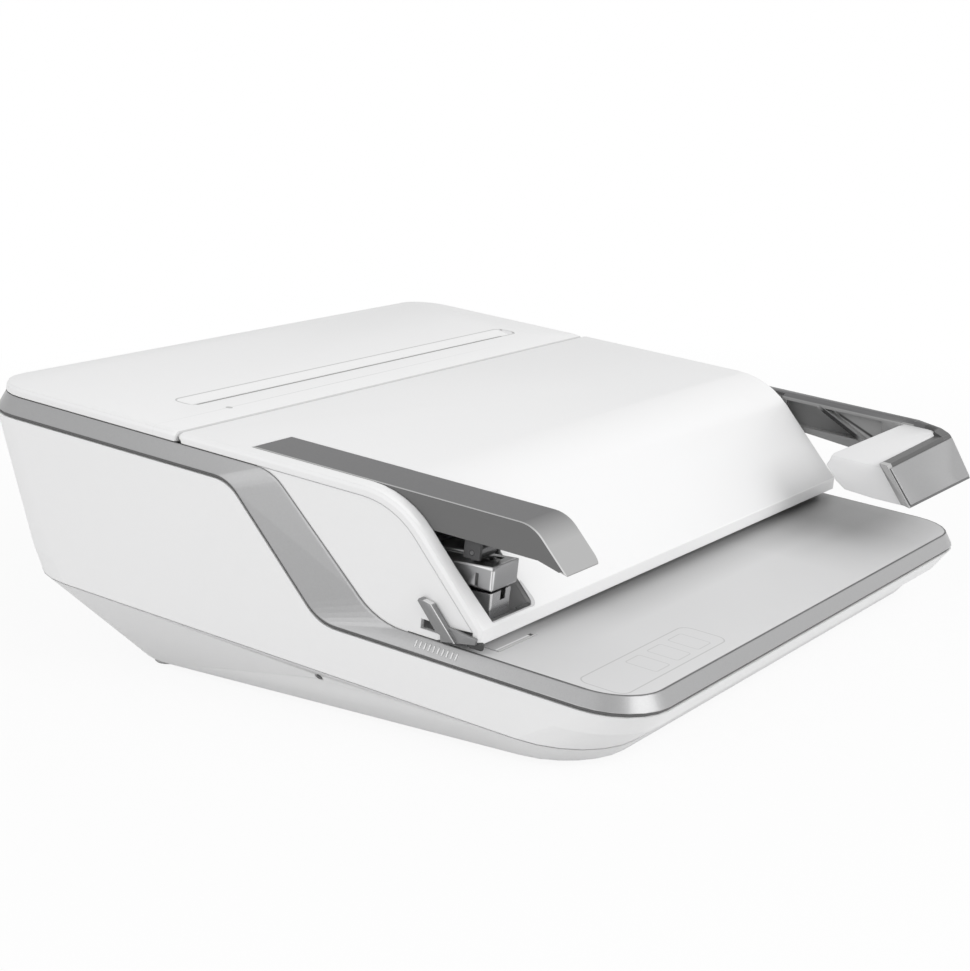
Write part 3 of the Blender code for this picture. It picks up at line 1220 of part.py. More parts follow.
def magazine_floor_z(y):
    share = (y - MAG_FRONT_Y) / (MAG_REAR_Y - MAG_FRONT_Y)
    return MAG_FRONT_Z + (MAG_REAR_Z - MAG_FRONT_Z) * share


def build_magazine():
    half = MAG_WIDTH / 2.0
    lug = ARM_PIVOT_Y + MAG_LUG_RADIUS
    outline = [(MAG_FRONT_Y, MAG_FRONT_Z), (MAG_REAR_Y, MAG_REAR_Z), (lug, ARM_PIVOT_Z - MAG_LUG_RADIUS),
               (lug, ARM_PIVOT_Z + MAG_LUG_RADIUS), (MAG_REAR_Y, MAG_REAR_Z + MAG_REAR_HEIGHT),
               (MAG_FRONT_Y, MAG_FRONT_Z + MAG_HEIGHT)]
    magazine = side_prism("magazine", outline, LEVER_CENTRE_X - half, LEVER_CENTRE_X + half, "bright_steel",
                          "magazine")
    inner = half - MAG_WALL
    front = MAG_FRONT_Y + MAG_WALL
    back = lug - MAG_WALL
    over = MAG_FRONT_Z + MAG_HEIGHT + OVERRUN
    hollow_outline = [(front, magazine_floor_z(front) + MAG_WALL), (back, magazine_floor_z(lug) + MAG_WALL),
                      (back, over), (front, over)]
    hollow = side_prism("tool_magazine_hollow", hollow_outline, LEVER_CENTRE_X - inner, LEVER_CENTRE_X + inner,
                        "bright_steel", "magazine")
    cut(magazine, hollow)
    bore = cross_cylinder("tool_magazine_bore", ARM_AXIS.y, ARM_AXIS.z, ARM_PIN_RADIUS + RUN_GAP,
                          LEVER_CENTRE_X - half - OVERRUN, LEVER_CENTRE_X + half + OVERRUN, "bright_steel",
                          "magazine", sides=16)
    cut(magazine, bore)
    slit_half = STAPLE_WIDTH / 2.0 + GAP
    slit = box("tool_staple_slit", (LEVER_CENTRE_X - slit_half, front, MAG_REAR_Z),
               (LEVER_CENTRE_X + slit_half, front + STAPLE_SETBACK, MAG_FRONT_Z + MAG_WALL + GAP),
               "bright_steel", "magazine")
    cut(magazine, slit)
    return magazine


def sloped_block(name, y0, y1, half, bottom, height, paint, body):
    # a block lying on the magazine's sloping floor
    outline = [(y0, magazine_floor_z(y0) + bottom), (y1, magazine_floor_z(y1) + bottom),
               (y1, magazine_floor_z(y1) + bottom + height), (y0, magazine_floor_z(y0) + bottom + height)]
    return side_prism(name, outline, LEVER_CENTRE_X - half, LEVER_CENTRE_X + half, paint, body)


def build_staples():
    start = MAG_FRONT_Y + MAG_WALL + STAPLE_SETBACK + GAP
    end = start + (MAG_REAR_Y - MAG_FRONT_Y) * STAPLE_STRIP_SHARE
    floor = MAG_WALL + GAP
    strip = sloped_block("staple_strip", start, end, STAPLE_WIDTH / 2.0, floor, STAPLE_HEIGHT, "plated_steel",
                         "magazine")
    core = sloped_block("tool_staple_core", start - OVERRUN, end + OVERRUN, STAPLE_WIDTH / 2.0 - STAPLE_WIRE,
                        floor - OVERRUN, STAPLE_HEIGHT - STAPLE_WIRE + OVERRUN, "plated_steel", "magazine")
    cut(strip, core)
    sloped_block("staple_pusher", end + GAP, end + GAP + PUSHER_LENGTH, STAPLE_WIDTH / 2.0, floor, PUSHER_HEIGHT,
                 "dark_grey_plastic", "pusher")


def build_depth_lever():
    right = -TRAY_HALF_WIDTH - GAP
    left = right - DEPTH_LEVER_WIDTH
    front = DEPTH_FOOT_FRONT_Y
    finger = [(front + DEPTH_FINGER_FRONT_RUN, DEPTH_FINGER_FRONT_Z),
              (front + DEPTH_FINGER_REAR_RUN, DEPTH_FINGER_REAR_Z), (front + DEPTH_TIP_REAR_RUN, DEPTH_TIP_REAR_Z),
              (front + DEPTH_TIP_TOP_RUN, DEPTH_TIP_TOP_Z), (front + DEPTH_TIP_FRONT_RUN, DEPTH_TIP_FRONT_Z)]
    lever = side_prism("staple_depth_lever", finger, left, right, "silver_paint", "depth_stop")
    foot = [(front, DEPTH_FOOT_Z), (front + DEPTH_FOOT_LENGTH, DEPTH_FOOT_Z), (front + DEPTH_HEEL_RUN, DEPTH_HEEL_Z),
            (front + DEPTH_ROOT_RUN, DEPTH_ROOT_Z), (front + DEPTH_ANKLE_RUN, DEPTH_ANKLE_Z),
            (front + DEPTH_INSTEP_RUN, DEPTH_INSTEP_Z), (front, DEPTH_FOOT_HEIGHT)]
    fuse(lever, side_prism("tool_depth_foot", foot, right - DEPTH_FOOT_WIDTH, right, "silver_paint", "depth_stop"))
    stop_left = CHEEK_WALL - TRAY_HALF_WIDTH + GAP + GAP
    arm_front = front + DEPTH_ARM_RUN
    arm = box("tool_depth_arm", (right - DEPTH_FOOT_WIDTH / 2.0, arm_front, CHEEK_NOTCH_Z + GAP + GAP),
              (stop_left + DEPTH_STOP_WIDTH / 2.0, arm_front + DEPTH_ARM_LENGTH,
               CHEEK_NOTCH_Z + DEPTH_SLOT_HEIGHT - GAP - GAP), "silver_paint", "depth_stop")
    fuse(lever, arm)
    stop = box("tool_depth_stop_block", (stop_left, arm_front - GAP, DEPTH_STOP_LIFT),
               (stop_left + DEPTH_STOP_WIDTH, arm_front + DEPTH_STOP_LENGTH, DEPTH_STOP_HEIGHT),
               "silver_paint", "depth_stop")
    fuse(lever, stop)
    return lever


# Punch unit

def pin_places():
    first = SLOT_CENTRE_X - PIN_PITCH * (PIN_COUNT - 1) / 2.0
    return [first + PIN_PITCH * index for index in range(PIN_COUNT)]


def perforated_plate(name, front, thickness):
    # an upright steel plate with a row of square punch holes
    left = GAP - CHASSIS_SIDE_X
    right = CHASSIS_SIDE_X - GAP
    top = TOP_HEIGHT - RIM_HEIGHT - GAP
    half_w = PIN_WIDTH / 2.0 + PIN_CLEARANCE
    half_t = PIN_THICKNESS / 2.0 + PIN_CLEARANCE
    columns = [left]
    for x in pin_places():
        columns += [x - half_w, x + half_w]
    columns.append(right)
    rows = [PIN_Z - PLATE_BELOW_PIN, PIN_Z - half_t, PIN_Z + half_t, top]
    return grid_plate(name, columns, rows, front, front + thickness, upright=True, open_cells=open_middle)


def open_middle(column, row):
    return row == 1 and column % 2 == 1


def grid_plate(name, columns, rows, near, far, upright, open_cells, paint="plated_steel", body="root"):
    # a plate made of grid cells, some of them open; near and far are its two faces
    points = []
    index = {}

    def corner(i, j, depth):
        key = (i, j, depth)
        if key not in index:
            x = columns[i]
            v = rows[j]
            index[key] = len(points)
            points.append((x, depth, v) if upright else (x, v, depth))
        return index[key]

    faces = []
    solid = {}
    for i in range(len(columns) - 1):
        for j in range(len(rows) - 1):
            solid[(i, j)] = not open_cells(i, j)
    for (i, j), is_solid in solid.items():
        if not is_solid:
            continue
        for depth in (near, far):
            faces.append((corner(i, j, depth), corner(i + 1, j, depth), corner(i + 1, j + 1, depth),
                          corner(i, j + 1, depth)))
        edges = (((i, j), (i + 1, j), (i, j - 1)), ((i + 1, j), (i + 1, j + 1), (i + 1, j)),
                 ((i + 1, j + 1), (i, j + 1), (i, j + 1)), ((i, j + 1), (i, j), (i - 1, j)))
        for start, end, neighbour in edges:
            if not solid.get(neighbour, False):
                faces.append((corner(*start, near), corner(*end, near), corner(*end, far), corner(*start, far)))
    return mesh_piece(name, points, faces, paint, body)


def build_punch_plates():
    perforated_plate("die_plate", SLOT_FRONT_Y - DIE_THICKNESS, DIE_THICKNESS)
    perforated_plate("guide_plate", SLOT_FRONT_Y + SLOT_GAP, GUIDE_THICKNESS)
    top = PIN_Z - PIN_THICKNESS - PIN_THICKNESS / 2.0
    half = SLOT_WIDTH / 2.0 + STOP_BAR_OVERLAP
    box("paper_stop_bar", (SLOT_CENTRE_X - half, SLOT_FRONT_Y + GAP, top - STOP_BAR_HEIGHT),
        (SLOT_CENTRE_X + half, SLOT_FRONT_Y + SLOT_GAP - GAP, top), "plated_steel", "root")


def crank_angle():
    return HANDLE_SWING / 2.0


def punch_pin_radius():
    return PUNCH_TRAVEL / (2.0 * math.sin(crank_angle()))


def opener_pin_radius():
    return OPENER_TRAVEL / (2.0 * math.sin(crank_angle()))


def punch_pin_place():
    radius = punch_pin_radius()
    return (SHAFT_Y - radius * math.sin(crank_angle()), SHAFT_Z + radius * math.cos(crank_angle()))


def opener_pin_place():
    radius = opener_pin_radius()
    return (SHAFT_Y + radius * math.sin(crank_angle()), SHAFT_Z - radius * math.cos(crank_angle()))


def yoke_left(side):
    # the inner X of a yoke plate on one side; it lies just inside the crank
    return CRANK_X - GAP - YOKE_THICKNESS if side > 0.0 else -CRANK_X + GAP


def build_punch_bar():
    front = SLOT_FRONT_Y + SLOT_GAP + GUIDE_THICKNESS + CARRIER_GAP
    rear = front + CARRIER_THICKNESS
    tip = SLOT_FRONT_Y - PIN_TIP_ENTRY
    half_length = CRANK_X - CARRIER_END_MARGIN
    columns = [-half_length]
    for x in pin_places():
        columns += [x - PIN_WIDTH / 2.0, x + PIN_WIDTH / 2.0]
    columns.append(half_length)
    half_pin = PIN_THICKNESS / 2.0
    rows = [PIN_Z - CARRIER_HALF_HEIGHT, PIN_Z - half_pin, PIN_Z + half_pin, PIN_Z + CARRIER_HALF_HEIGHT]
    points = []
    index = {}

    def corner(i, j, depth):
        key = (i, j, depth)
        if key not in index:
            index[key] = len(points)
            points.append((columns[i], depth, rows[j]))
        return index[key]

    faces = []
    last = len(columns) - 1
    for i in range(last):
        for j in range(3):
            face_depth = tip if open_middle(i, j) else front
            ends = ((i, j), (i + 1, j), (i + 1, j + 1), (i, j + 1))
            faces.append(tuple(corner(*end, face_depth) for end in ends))
            faces.append(tuple(corner(*end, rear) for end in ends))
            if open_middle(i, j):
                for step in range(4):
                    a = ends[step]
                    b = ends[(step + 1) % 4]
                    faces.append((corner(*a, tip), corner(*b, tip), corner(*b, front), corner(*a, front)))
        for j in (0, 3):
            faces.append((corner(i, j, front), corner(i + 1, j, front), corner(i + 1, j, rear), corner(i, j, rear)))
    for j in range(3):
        for i in (0, last):
            faces.append((corner(i, j, front), corner(i, j + 1, front), corner(i, j + 1, rear), corner(i, j, rear)))
    bar = mesh_piece("punch_bar", points, faces, "bright_steel", "punch_bar")
    pin_y, pin_z = punch_pin_place()
    slot_half = CRANK_PIN_RADIUS + YOKE_SLACK
    bottom = SHAFT_Z + SHAFT_RADIUS + YOKE_SHAFT_CLEARANCE
    roof = SHAFT_Z + punch_pin_radius() + CRANK_PIN_RADIUS + YOKE_SLACK
    top = roof + YOKE_TOP_LAND
    outline = [(front + CARRIER_THICKNESS / 2.0, bottom), (pin_y - slot_half, bottom), (pin_y - slot_half, roof),
               (pin_y + slot_half, roof), (pin_y + slot_half, bottom), (pin_y + slot_half + YOKE_TINE, bottom),
               (pin_y + slot_half + YOKE_TINE, top), (front + CARRIER_THICKNESS / 2.0, top)]
    for side in (-1.0, 1.0):
        label = "left" if side < 0.0 else "right"
        inner = yoke_left(side)
        yoke = side_prism("tool_punch_yoke_" + label, outline, inner, inner + YOKE_THICKNESS, "bright_steel",
                          "punch_bar")
        fuse(bar, yoke)
    return bar


def build_cranks():
    punch_y, punch_z = punch_pin_place()
    opener_y, opener_z = opener_pin_place()
    for side in (-1.0, 1.0):
        label = "left" if side < 0.0 else "right"
        left = CRANK_X if side > 0.0 else -CRANK_X - CRANK_THICKNESS
        right = left + CRANK_THICKNESS
        crank = cross_cylinder("crank_" + label, SHAFT_Y, SHAFT_Z, CRANK_HUB_RADIUS, left, right, "plated_steel",
                               "handle")
        along = Vector((opener_y - punch_y, opener_z - punch_z)).normalized()
        across = Vector((-along.y, along.x)) * CRANK_ARM_HALF
        start = Vector((punch_y, punch_z)) - along * CRANK_ARM_HALF
        end = Vector((opener_y, opener_z)) + along * CRANK_ARM_HALF
        outline = [tuple(start - across), tuple(end - across), tuple(end + across), tuple(start + across)]
        arm = side_prism("tool_crank_arm_" + label, outline, left, right, "plated_steel", "handle")
        fuse(crank, arm)
        inner = left - CRANK_PIN_REACH + GAP if side > 0.0 else right - GAP
        outer = left + GAP if side > 0.0 else right + CRANK_PIN_REACH - GAP
        for role, y, z in (("punch", punch_y, punch_z), ("opener", opener_y, opener_z)):
            pin = cross_cylinder("tool_crank_pin_" + role + "_" + label, y, z, CRANK_PIN_RADIUS, inner, outer,
                                 "plated_steel", "handle", sides=12)
            fuse(crank, pin)
        bore = cross_cylinder("tool_crank_bore_" + label, SHAFT_Y, SHAFT_Z, SHAFT_RADIUS + RUN_GAP,
                              left - OVERRUN, right + OVERRUN, "plated_steel", "handle")
        cut(crank, bore)


def build_shaft():
    left = -CHASSIS_SIDE_X - CHASSIS_SHEET - BUSH_FLANGE - BUSH_FLANGE
    right = ARM_INNER_X + HUB_SHAFT_END
    return cross_cylinder("handle_shaft", SHAFT_Y, SHAFT_Z, SHAFT_RADIUS, left, right, "bright_steel", "handle")


def build_bushes():
    for side in (-1.0, 1.0):
        label = "left" if side < 0.0 else "right"
        sheet_inner = CHASSIS_SIDE_X if side > 0.0 else -CHASSIS_SIDE_X - CHASSIS_SHEET
        sheet_outer = sheet_inner + CHASSIS_SHEET
        bush = cross_cylinder("shaft_bush_" + label, SHAFT_Y, SHAFT_Z, BUSH_RADIUS, sheet_inner,
                              sheet_outer, "dark_grey_plastic", "root")
        flange_left = sheet_outer + GAP if side > 0.0 else sheet_inner - GAP - BUSH_FLANGE
        flange = cross_cylinder("tool_bush_flange_" + label, SHAFT_Y, SHAFT_Z, BUSH_FLANGE_RADIUS,
                                flange_left, flange_left + BUSH_FLANGE, "dark_grey_plastic", "root")
        neck = cross_cylinder("tool_bush_neck_" + label, SHAFT_Y, SHAFT_Z, BUSH_RADIUS,
                              min(flange_left, sheet_inner) + GAP, max(flange_left, sheet_outer) - GAP + GAP,
                              "dark_grey_plastic", "root")
        fuse(bush, neck)
        fuse(bush, flange)
        bore = cross_cylinder("tool_bush_bore_" + label, SHAFT_Y, SHAFT_Z, SHAFT_RADIUS + RUN_GAP,
                              -CHASSIS_SIDE_X * 2.0, CHASSIS_SIDE_X * 2.0, "dark_grey_plastic", "root")
        cut(bush, bore)


def build_chassis():
    floor_z = CREASE_Z + SHELL_FLOOR + GAP
    axis_z = TOP_HEIGHT - LID_HINGE_RADIUS
    outer = CHASSIS_SIDE_X + CHASSIS_SHEET
    chassis = box("chassis", (-outer, CHASSIS_FRONT_Y, floor_z), (outer, CHASSIS_REAR_Y, floor_z + CHASSIS_FLOOR),
                  "plated_steel", "root")
    ear = []
    for step in range(FILLET_STEPS + 1):
        angle = math.pi * step / FILLET_STEPS
        ear.append((LID_HINGE_Y + HINGE_EAR_RADIUS * math.cos(angle), axis_z + HINGE_EAR_RADIUS * math.sin(angle)))
    sheet = [(CHASSIS_FRONT_Y, floor_z), (CHASSIS_REAR_Y, floor_z), (CHASSIS_REAR_Y, CHASSIS_REAR_TOP_Z),
             (CHASSIS_SHOULDER_Y, CHASSIS_TOP_Z), (LID_HINGE_Y + HINGE_EAR_ARM, CHASSIS_TOP_Z)] + ear \
        + [(LID_HINGE_Y - HINGE_EAR_ARM, CHASSIS_TOP_Z), (CHASSIS_FRONT_Y, CHASSIS_TOP_Z - OVERRUN)]
    for side in (-1.0, 1.0):
        label = "left" if side < 0.0 else "right"
        left = CHASSIS_SIDE_X if side > 0.0 else -outer
        flank = side_prism("tool_chassis_flank_" + label, sheet, left, left + CHASSIS_SHEET, "plated_steel",
                           "root")
        fuse(chassis, flank)
        hole = cross_cylinder("tool_chassis_bush_hole_" + label, SHAFT_Y, SHAFT_Z, BUSH_RADIUS + RUN_GAP,
                              left - OVERRUN, left + CHASSIS_SHEET + OVERRUN, "plated_steel", "root")
        cut(chassis, hole)
        bore = cross_cylinder("tool_ear_bore_" + label, LID_HINGE_Y, axis_z, HINGE_PIN_RADIUS + RUN_GAP,
                              left - OVERRUN, left + CHASSIS_SHEET + OVERRUN, "plated_steel", "root", sides=12)
        cut(chassis, bore)
    return chassis


# Comb opener

def bed_ends():
    reach = PIN_PITCH * PIN_COUNT / 2.0 + FINGER_WIDTH / 2.0 + BED_END
    return SLOT_CENTRE_X - reach, SLOT_CENTRE_X + reach


def comb_columns(width):
    left, right = bed_ends()
    columns = [left]
    for x in pin_places():
        columns += [x - width / 2.0, x + width / 2.0]
    columns.append(right)
    return columns


def build_comb_bed():
    slot_front = HOOK_Y - OPENER_TRAVEL - HOOK_LENGTH / 2.0 - HOOK_TIP_LENGTH
    slot_rear = HOOK_Y + HOOK_LENGTH
    rows = [BED_FRONT_Y, slot_front, slot_rear, BED_REAR_Y]
    bed = grid_plate("comb_bed", comb_columns(HOOK_SLOT_WIDTH), rows, BED_TOP_Z - BED_SHEET, BED_TOP_Z,
                     upright=False, open_cells=open_middle)
    left, right = bed_ends()
    for label, front in (("front", BED_FRONT_Y), ("rear", BED_REAR_Y - BED_SHEET)):
        flange = box("tool_bed_flange_" + label, (left, front, GAP),
                     (right, front + BED_SHEET, BED_TOP_Z - BED_SHEET / 2.0), "plated_steel", "root")
        fuse(bed, flange)
    return bed


def build_comb_fingers():
    # an upright plate that stands on the bed, cut into fingers between the punched holes
    top = BED_TOP_Z + FINGER_HEIGHT
    foot = BED_TOP_Z + GAP
    rail = foot + FINGER_RAIL_HEIGHT
    outline = []
    first = pin_places()[0] - PIN_PITCH / 2.0
    for index in range(PIN_COUNT + 1):
        left = first + PIN_PITCH * index - FINGER_WIDTH / 2.0
        right = left + FINGER_WIDTH
        outline += [(left, rail), (left, top), (right, top), (right, rail)]
    outline += [(outline[-1][0], foot), (outline[0][0], foot)]
    rings = [[(x, y, z) for x, z in outline] for y in (FINGER_Y, FINGER_Y + FINGER_THICKNESS)]
    return loft("comb_fingers", rings, "plated_steel", "root")


def build_hook_bar():
    bar_top = HOOK_BAR_BOTTOM_Z + HOOK_BAR_THICKNESS
    half = ROD_X - GAP
    bar = box("comb_hook_bar", (-half, HOOK_BAR_FRONT_Y, HOOK_BAR_BOTTOM_Z), (half, HOOK_BAR_REAR_Y, bar_top),
              "bright_steel", "comb_hooks")
    base = bar_top - HOOK_BAR_THICKNESS / 2.0
    front = HOOK_Y - HOOK_LENGTH / 2.0
    rear = HOOK_Y + HOOK_LENGTH / 2.0
    outline = [(front, base), (rear, base), (rear, HOOK_TOP_Z), (front - HOOK_TIP_LENGTH, HOOK_TOP_Z),
               (front - HOOK_TIP_LENGTH, HOOK_TOP_Z - HOOK_TIP_HEIGHT), (front, HOOK_TOP_Z - HOOK_TIP_HEIGHT)]
    for index, x in enumerate(pin_places()):
        hook = side_prism("tool_comb_hook" + str(index), outline, x - HOOK_WIDTH / 2.0, x + HOOK_WIDTH / 2.0,
                          "bright_steel", "comb_hooks")
        fuse(bar, hook)
    return bar


def build_opener_rods():
    pin_y, pin_z = opener_pin_place()
    slot_half = CRANK_PIN_RADIUS + YOKE_SLACK
    slot_low = SHAFT_Z - opener_pin_radius() - CRANK_PIN_RADIUS - YOKE_SLACK
    slot_high = pin_z + CRANK_PIN_RADIUS + YOKE_SLACK
    head_low = slot_low - YOKE_TINE
    head_high = slot_high + YOKE_TINE
    head_front = pin_y - slot_half - YOKE_TINE
    head_rear = pin_y + slot_half + YOKE_TINE
    rod_top = ROD_BOTTOM_Z + ROD_HEIGHT
    heel_front = HOOK_BAR_REAR_Y - ROD_HEEL_LENGTH
    outline = [(heel_front, HOOK_BAR_BOTTOM_Z), (HOOK_BAR_REAR_Y, HOOK_BAR_BOTTOM_Z),
               (HOOK_BAR_REAR_Y, ROD_BOTTOM_Z), (head_front, ROD_BOTTOM_Z), (head_front, head_low),
               (head_rear, head_low), (head_rear, head_high), (head_front, head_high), (head_front, rod_top),
               (heel_front, rod_top)]
    for side in (-1.0, 1.0):
        label = "left" if side < 0.0 else "right"
        left = ROD_X if side > 0.0 else -ROD_X - YOKE_THICKNESS
        rod = side_prism("opener_rod_" + label, outline, left, left + YOKE_THICKNESS, "plated_steel",
                         "comb_hooks")
        slot = box("tool_opener_slot_" + label, (left - OVERRUN, pin_y - slot_half, slot_low),
                   (left + YOKE_THICKNESS + OVERRUN, pin_y + slot_half, slot_high), "plated_steel",
                   "comb_hooks")
        cut(rod, slot)


# Chip drawer

def shell_rear_y(z):
    # the lower shell's outer rear face at a height
    top_z = band_lower_run(SEAM_HEIGHT + 2.0 * GAP)[-1][1]
    crease_rear = CASE_DEPTH + BAND_FLARE - REAR_LEAN
    return crease_rear + REAR_LEAN * (z - CREASE_Z) / (top_z - CREASE_Z)


def build_chip_drawer():
    bottom = CREASE_Z + SHELL_FLOOR + GAP + CHASSIS_FLOOR + GAP
    top = DRAWER_TOP_Z
    outline = [(DRAWER_FRONT_Y, bottom), (shell_rear_y(bottom), bottom), (shell_rear_y(top), top),
               (DRAWER_FRONT_Y, top)]
    half = DRAWER_HALF_WIDTH
    drawer = side_prism("chip_drawer", outline, -half, half, "dark_grey_plastic", "chip_drawer")
    floor = bottom + DRAWER_WALL
    over = top + OVERRUN
    hollow_outline = [(DRAWER_FRONT_Y + DRAWER_WALL, floor), (shell_rear_y(floor) - DRAWER_PANEL_WALL, floor),
                      (shell_rear_y(over) - DRAWER_PANEL_WALL, over), (DRAWER_FRONT_Y + DRAWER_WALL, over)]
    hollow = side_prism("tool_drawer_hollow", hollow_outline, DRAWER_WALL - half, half - DRAWER_WALL,
                        "dark_grey_plastic", "chip_drawer")
    cut(drawer, hollow)
    pull_top = top - DRAWER_PULL_DROP
    pull_low = pull_top - DRAWER_PULL_HEIGHT
    root_y = shell_rear_y(pull_low) - DRAWER_PANEL_WALL / 2.0
    tip_y = shell_rear_y(pull_top) + DRAWER_PULL_REACH
    pull_outline = [(root_y, pull_low), (tip_y, pull_low), (tip_y, pull_top), (root_y, pull_top)]
    pull = side_prism("tool_drawer_pull", pull_outline, -DRAWER_PULL_WIDTH / 2.0, DRAWER_PULL_WIDTH / 2.0,
                      "dark_grey_plastic", "chip_drawer")
    fuse(drawer, pull)
    return drawer


# Punch handle

def nose_y(z):
    # the slanting front face of the nose and the bar at a height
    slope = (NOSE_TOP_Y - NOSE_BOTTOM_Y) / (NOSE_TOP_Z - NOSE_BOTTOM_Z)
    return NOSE_BOTTOM_Y + (z - NOSE_BOTTOM_Z) * slope


def build_handle_arm():
    nose = fillet_run([(NOSE_BOTTOM_Y, NOSE_BOTTOM_Z), (NOSE_TOP_Y, NOSE_TOP_Z), (NOSE_BROW_Y, NOSE_BROW_Z),
                       (NOSE_SHOULDER_Y, ARM_TOP_Z), (SHAFT_Y - ARM_SHOULDER, ARM_TOP_Z)],
                      (NOSE_FILLET_RADIUS, NOSE_FILLET_RADIUS, NOSE_FILLET_RADIUS))
    hub = []
    for step in range(HUB_STEPS + 1):
        angle = HUB_START_ANGLE - HUB_SWEEP * step / HUB_STEPS
        hub.append((SHAFT_Y + ARM_HUB_RADIUS * math.cos(angle), SHAFT_Z + ARM_HUB_RADIUS * math.sin(angle)))
    under = [(SHAFT_Y - ARM_NECK, ARM_BOTTOM_Z), (ARM_STEP_Y - CHIN_LENGTH, ARM_BOTTOM_Z),
             (NOSE_CHIN_Y, NOSE_CHIN_Z)]
    arm = side_prism("handle_arm", nose + hub + under, ARM_INNER_X, ARM_OUTER_X, "dark_grey_plastic", "handle")
    thick = side_prism("tool_arm_front",
                       nose[:-1] + [(ARM_STEP_Y, ARM_TOP_Z), (ARM_STEP_Y, ARM_BOTTOM_Z)] + under[1:],
                       ARM_FRONT_INNER_X, ARM_INNER_X + GAP, "dark_grey_plastic", "handle")
    fuse(arm, thick)
    bevel_slope = ARM_BEVEL_DROP / ARM_BEVEL_X
    bevel_end = ARM_FRONT_INNER_X + ARM_BEVEL_X + OVERRUN
    bevel_side = ARM_FRONT_INNER_X - OVERRUN
    bevel = [(bevel_side, ARM_TOP_Z - ARM_BEVEL_DROP - OVERRUN * bevel_slope),
             (bevel_end, ARM_TOP_Z + OVERRUN * bevel_slope), (bevel_side, ARM_TOP_Z + OVERRUN)]
    bevel_rings = [[(x, y, z) for x, z in bevel] for y in (LOBE_REAR_Y, ARM_STEP_Y + OVERRUN)]
    cut(arm, loft("tool_arm_bevel", bevel_rings, "dark_grey_plastic", "handle"))
    notch = lobe_rings(GAP, ARM_FRONT_INNER_X - OVERRUN, ARM_TOP_Z + OVERRUN)
    cut(arm, loft("tool_grip_notch", notch, "dark_grey_plastic", "handle"))
    bar_rings = []
    for x, lean, head_z in ((BAR_LEFT_X, BAR_LEAN, NOSE_TOP_Z - BAR_TOP_DROP),
                            (ARM_FRONT_INNER_X + GAP, 0.0, NOSE_TOP_Z)):
        rear_z = NOSE_BOTTOM_Z + BAR_FLOOR
        bar_rings.append([(x, NOSE_BOTTOM_Y, NOSE_BOTTOM_Z), (x, nose_y(rear_z) + BAR_DEPTH, rear_z),
                          (x - lean, nose_y(head_z) + BAR_DEPTH, head_z), (x - lean, nose_y(head_z), head_z)])
    fuse(arm, loft("tool_front_bar", bar_rings, "dark_grey_plastic", "handle"))
    top = ARM_TOP_Z - RIB_MARGIN
    bottom = ARM_BOTTOM_Z + RIB_MARGIN
    rear_pocket = [(RIB_REAR_Y, top), (RIB_TOP_Y + RIB_WIDTH, top), (RIB_BOTTOM_Y + RIB_WIDTH, bottom),
                   (RIB_REAR_Y, bottom)]
    front_pocket = [(RIB_TOP_Y - RIB_WIDTH, top), (RIB_FRONT_Y, top), (RIB_FRONT_Y, bottom),
                    (RIB_BOTTOM_Y - RIB_WIDTH, bottom)]
    for label, outline in (("rear", rear_pocket), ("front", front_pocket)):
        pocket = side_prism("tool_rib_pocket_" + label, outline, ARM_FRONT_INNER_X - OVERRUN,
                            ARM_FRONT_INNER_X + RIB_POCKET_DEPTH, "dark_grey_plastic", "handle")
        cut(arm, pocket)
    bore = cross_cylinder("tool_hub_bore", SHAFT_Y, SHAFT_Z, SHAFT_RADIUS + RUN_GAP, ARM_INNER_X - OVERRUN,
                          ARM_INNER_X + HUB_SHAFT_END + GAP, "dark_grey_plastic", "handle")
    cut(arm, bore)
    socket = cross_cylinder("tool_hub_socket", SHAFT_Y, SHAFT_Z, HUB_SOCKET_RADIUS,
                            ARM_OUTER_X - HUB_BOLT_HEIGHT - GAP, ARM_OUTER_X + OVERRUN, "dark_grey_plastic",
                            "handle")
    cut(arm, socket)
    return arm


def build_hub_bolt():
    return cross_cylinder("hub_bolt", SHAFT_Y, SHAFT_Z, HUB_BOLT_RADIUS, ARM_OUTER_X - HUB_BOLT_HEIGHT,
                          ARM_OUTER_X, "plated_steel", "handle")


def grip_share(x):
    return (x - GRIP_LEFT_X) / (ARM_FRONT_INNER_X - GRIP_LEFT_X)


def grip_top_z(x):
    return GRIP_TOP_LEFT_Z + GRIP_TOP_RISE * grip_share(x)


def bar_back_y(z):
    # the front bar's rear face at a height, with the seat gap added
    return nose_y(z) + BAR_DEPTH + GAP + GAP


def lobe_rings(grow, left, top=None):
    # the grip's end that lies in the arm's notch, seen from above, with its front corner rounded
    right = ARM_FRONT_INNER_X + LOBE_REACH + grow
    front = bar_back_y(grip_top_z(ARM_FRONT_INNER_X)) - grow
    rear = LOBE_REAR_Y + grow
    radius = LOBE_CORNER
    plan = [(left, front)]
    for step in range(CORNER_STEPS + 1):
        angle = math.pi / 2.0 * step / CORNER_STEPS
        plan.append((right - radius * (1.0 - math.sin(angle)), front + radius * (1.0 - math.cos(angle))))
    plan += [(right, rear), (left, rear)]
    low = [(x, y, ARM_TOP_Z - LOBE_DEPTH - grow) for x, y in plan]
    high = [(x, y, grip_top_z(x) if top is None else top) for x, y in plan]
    return [low, high]


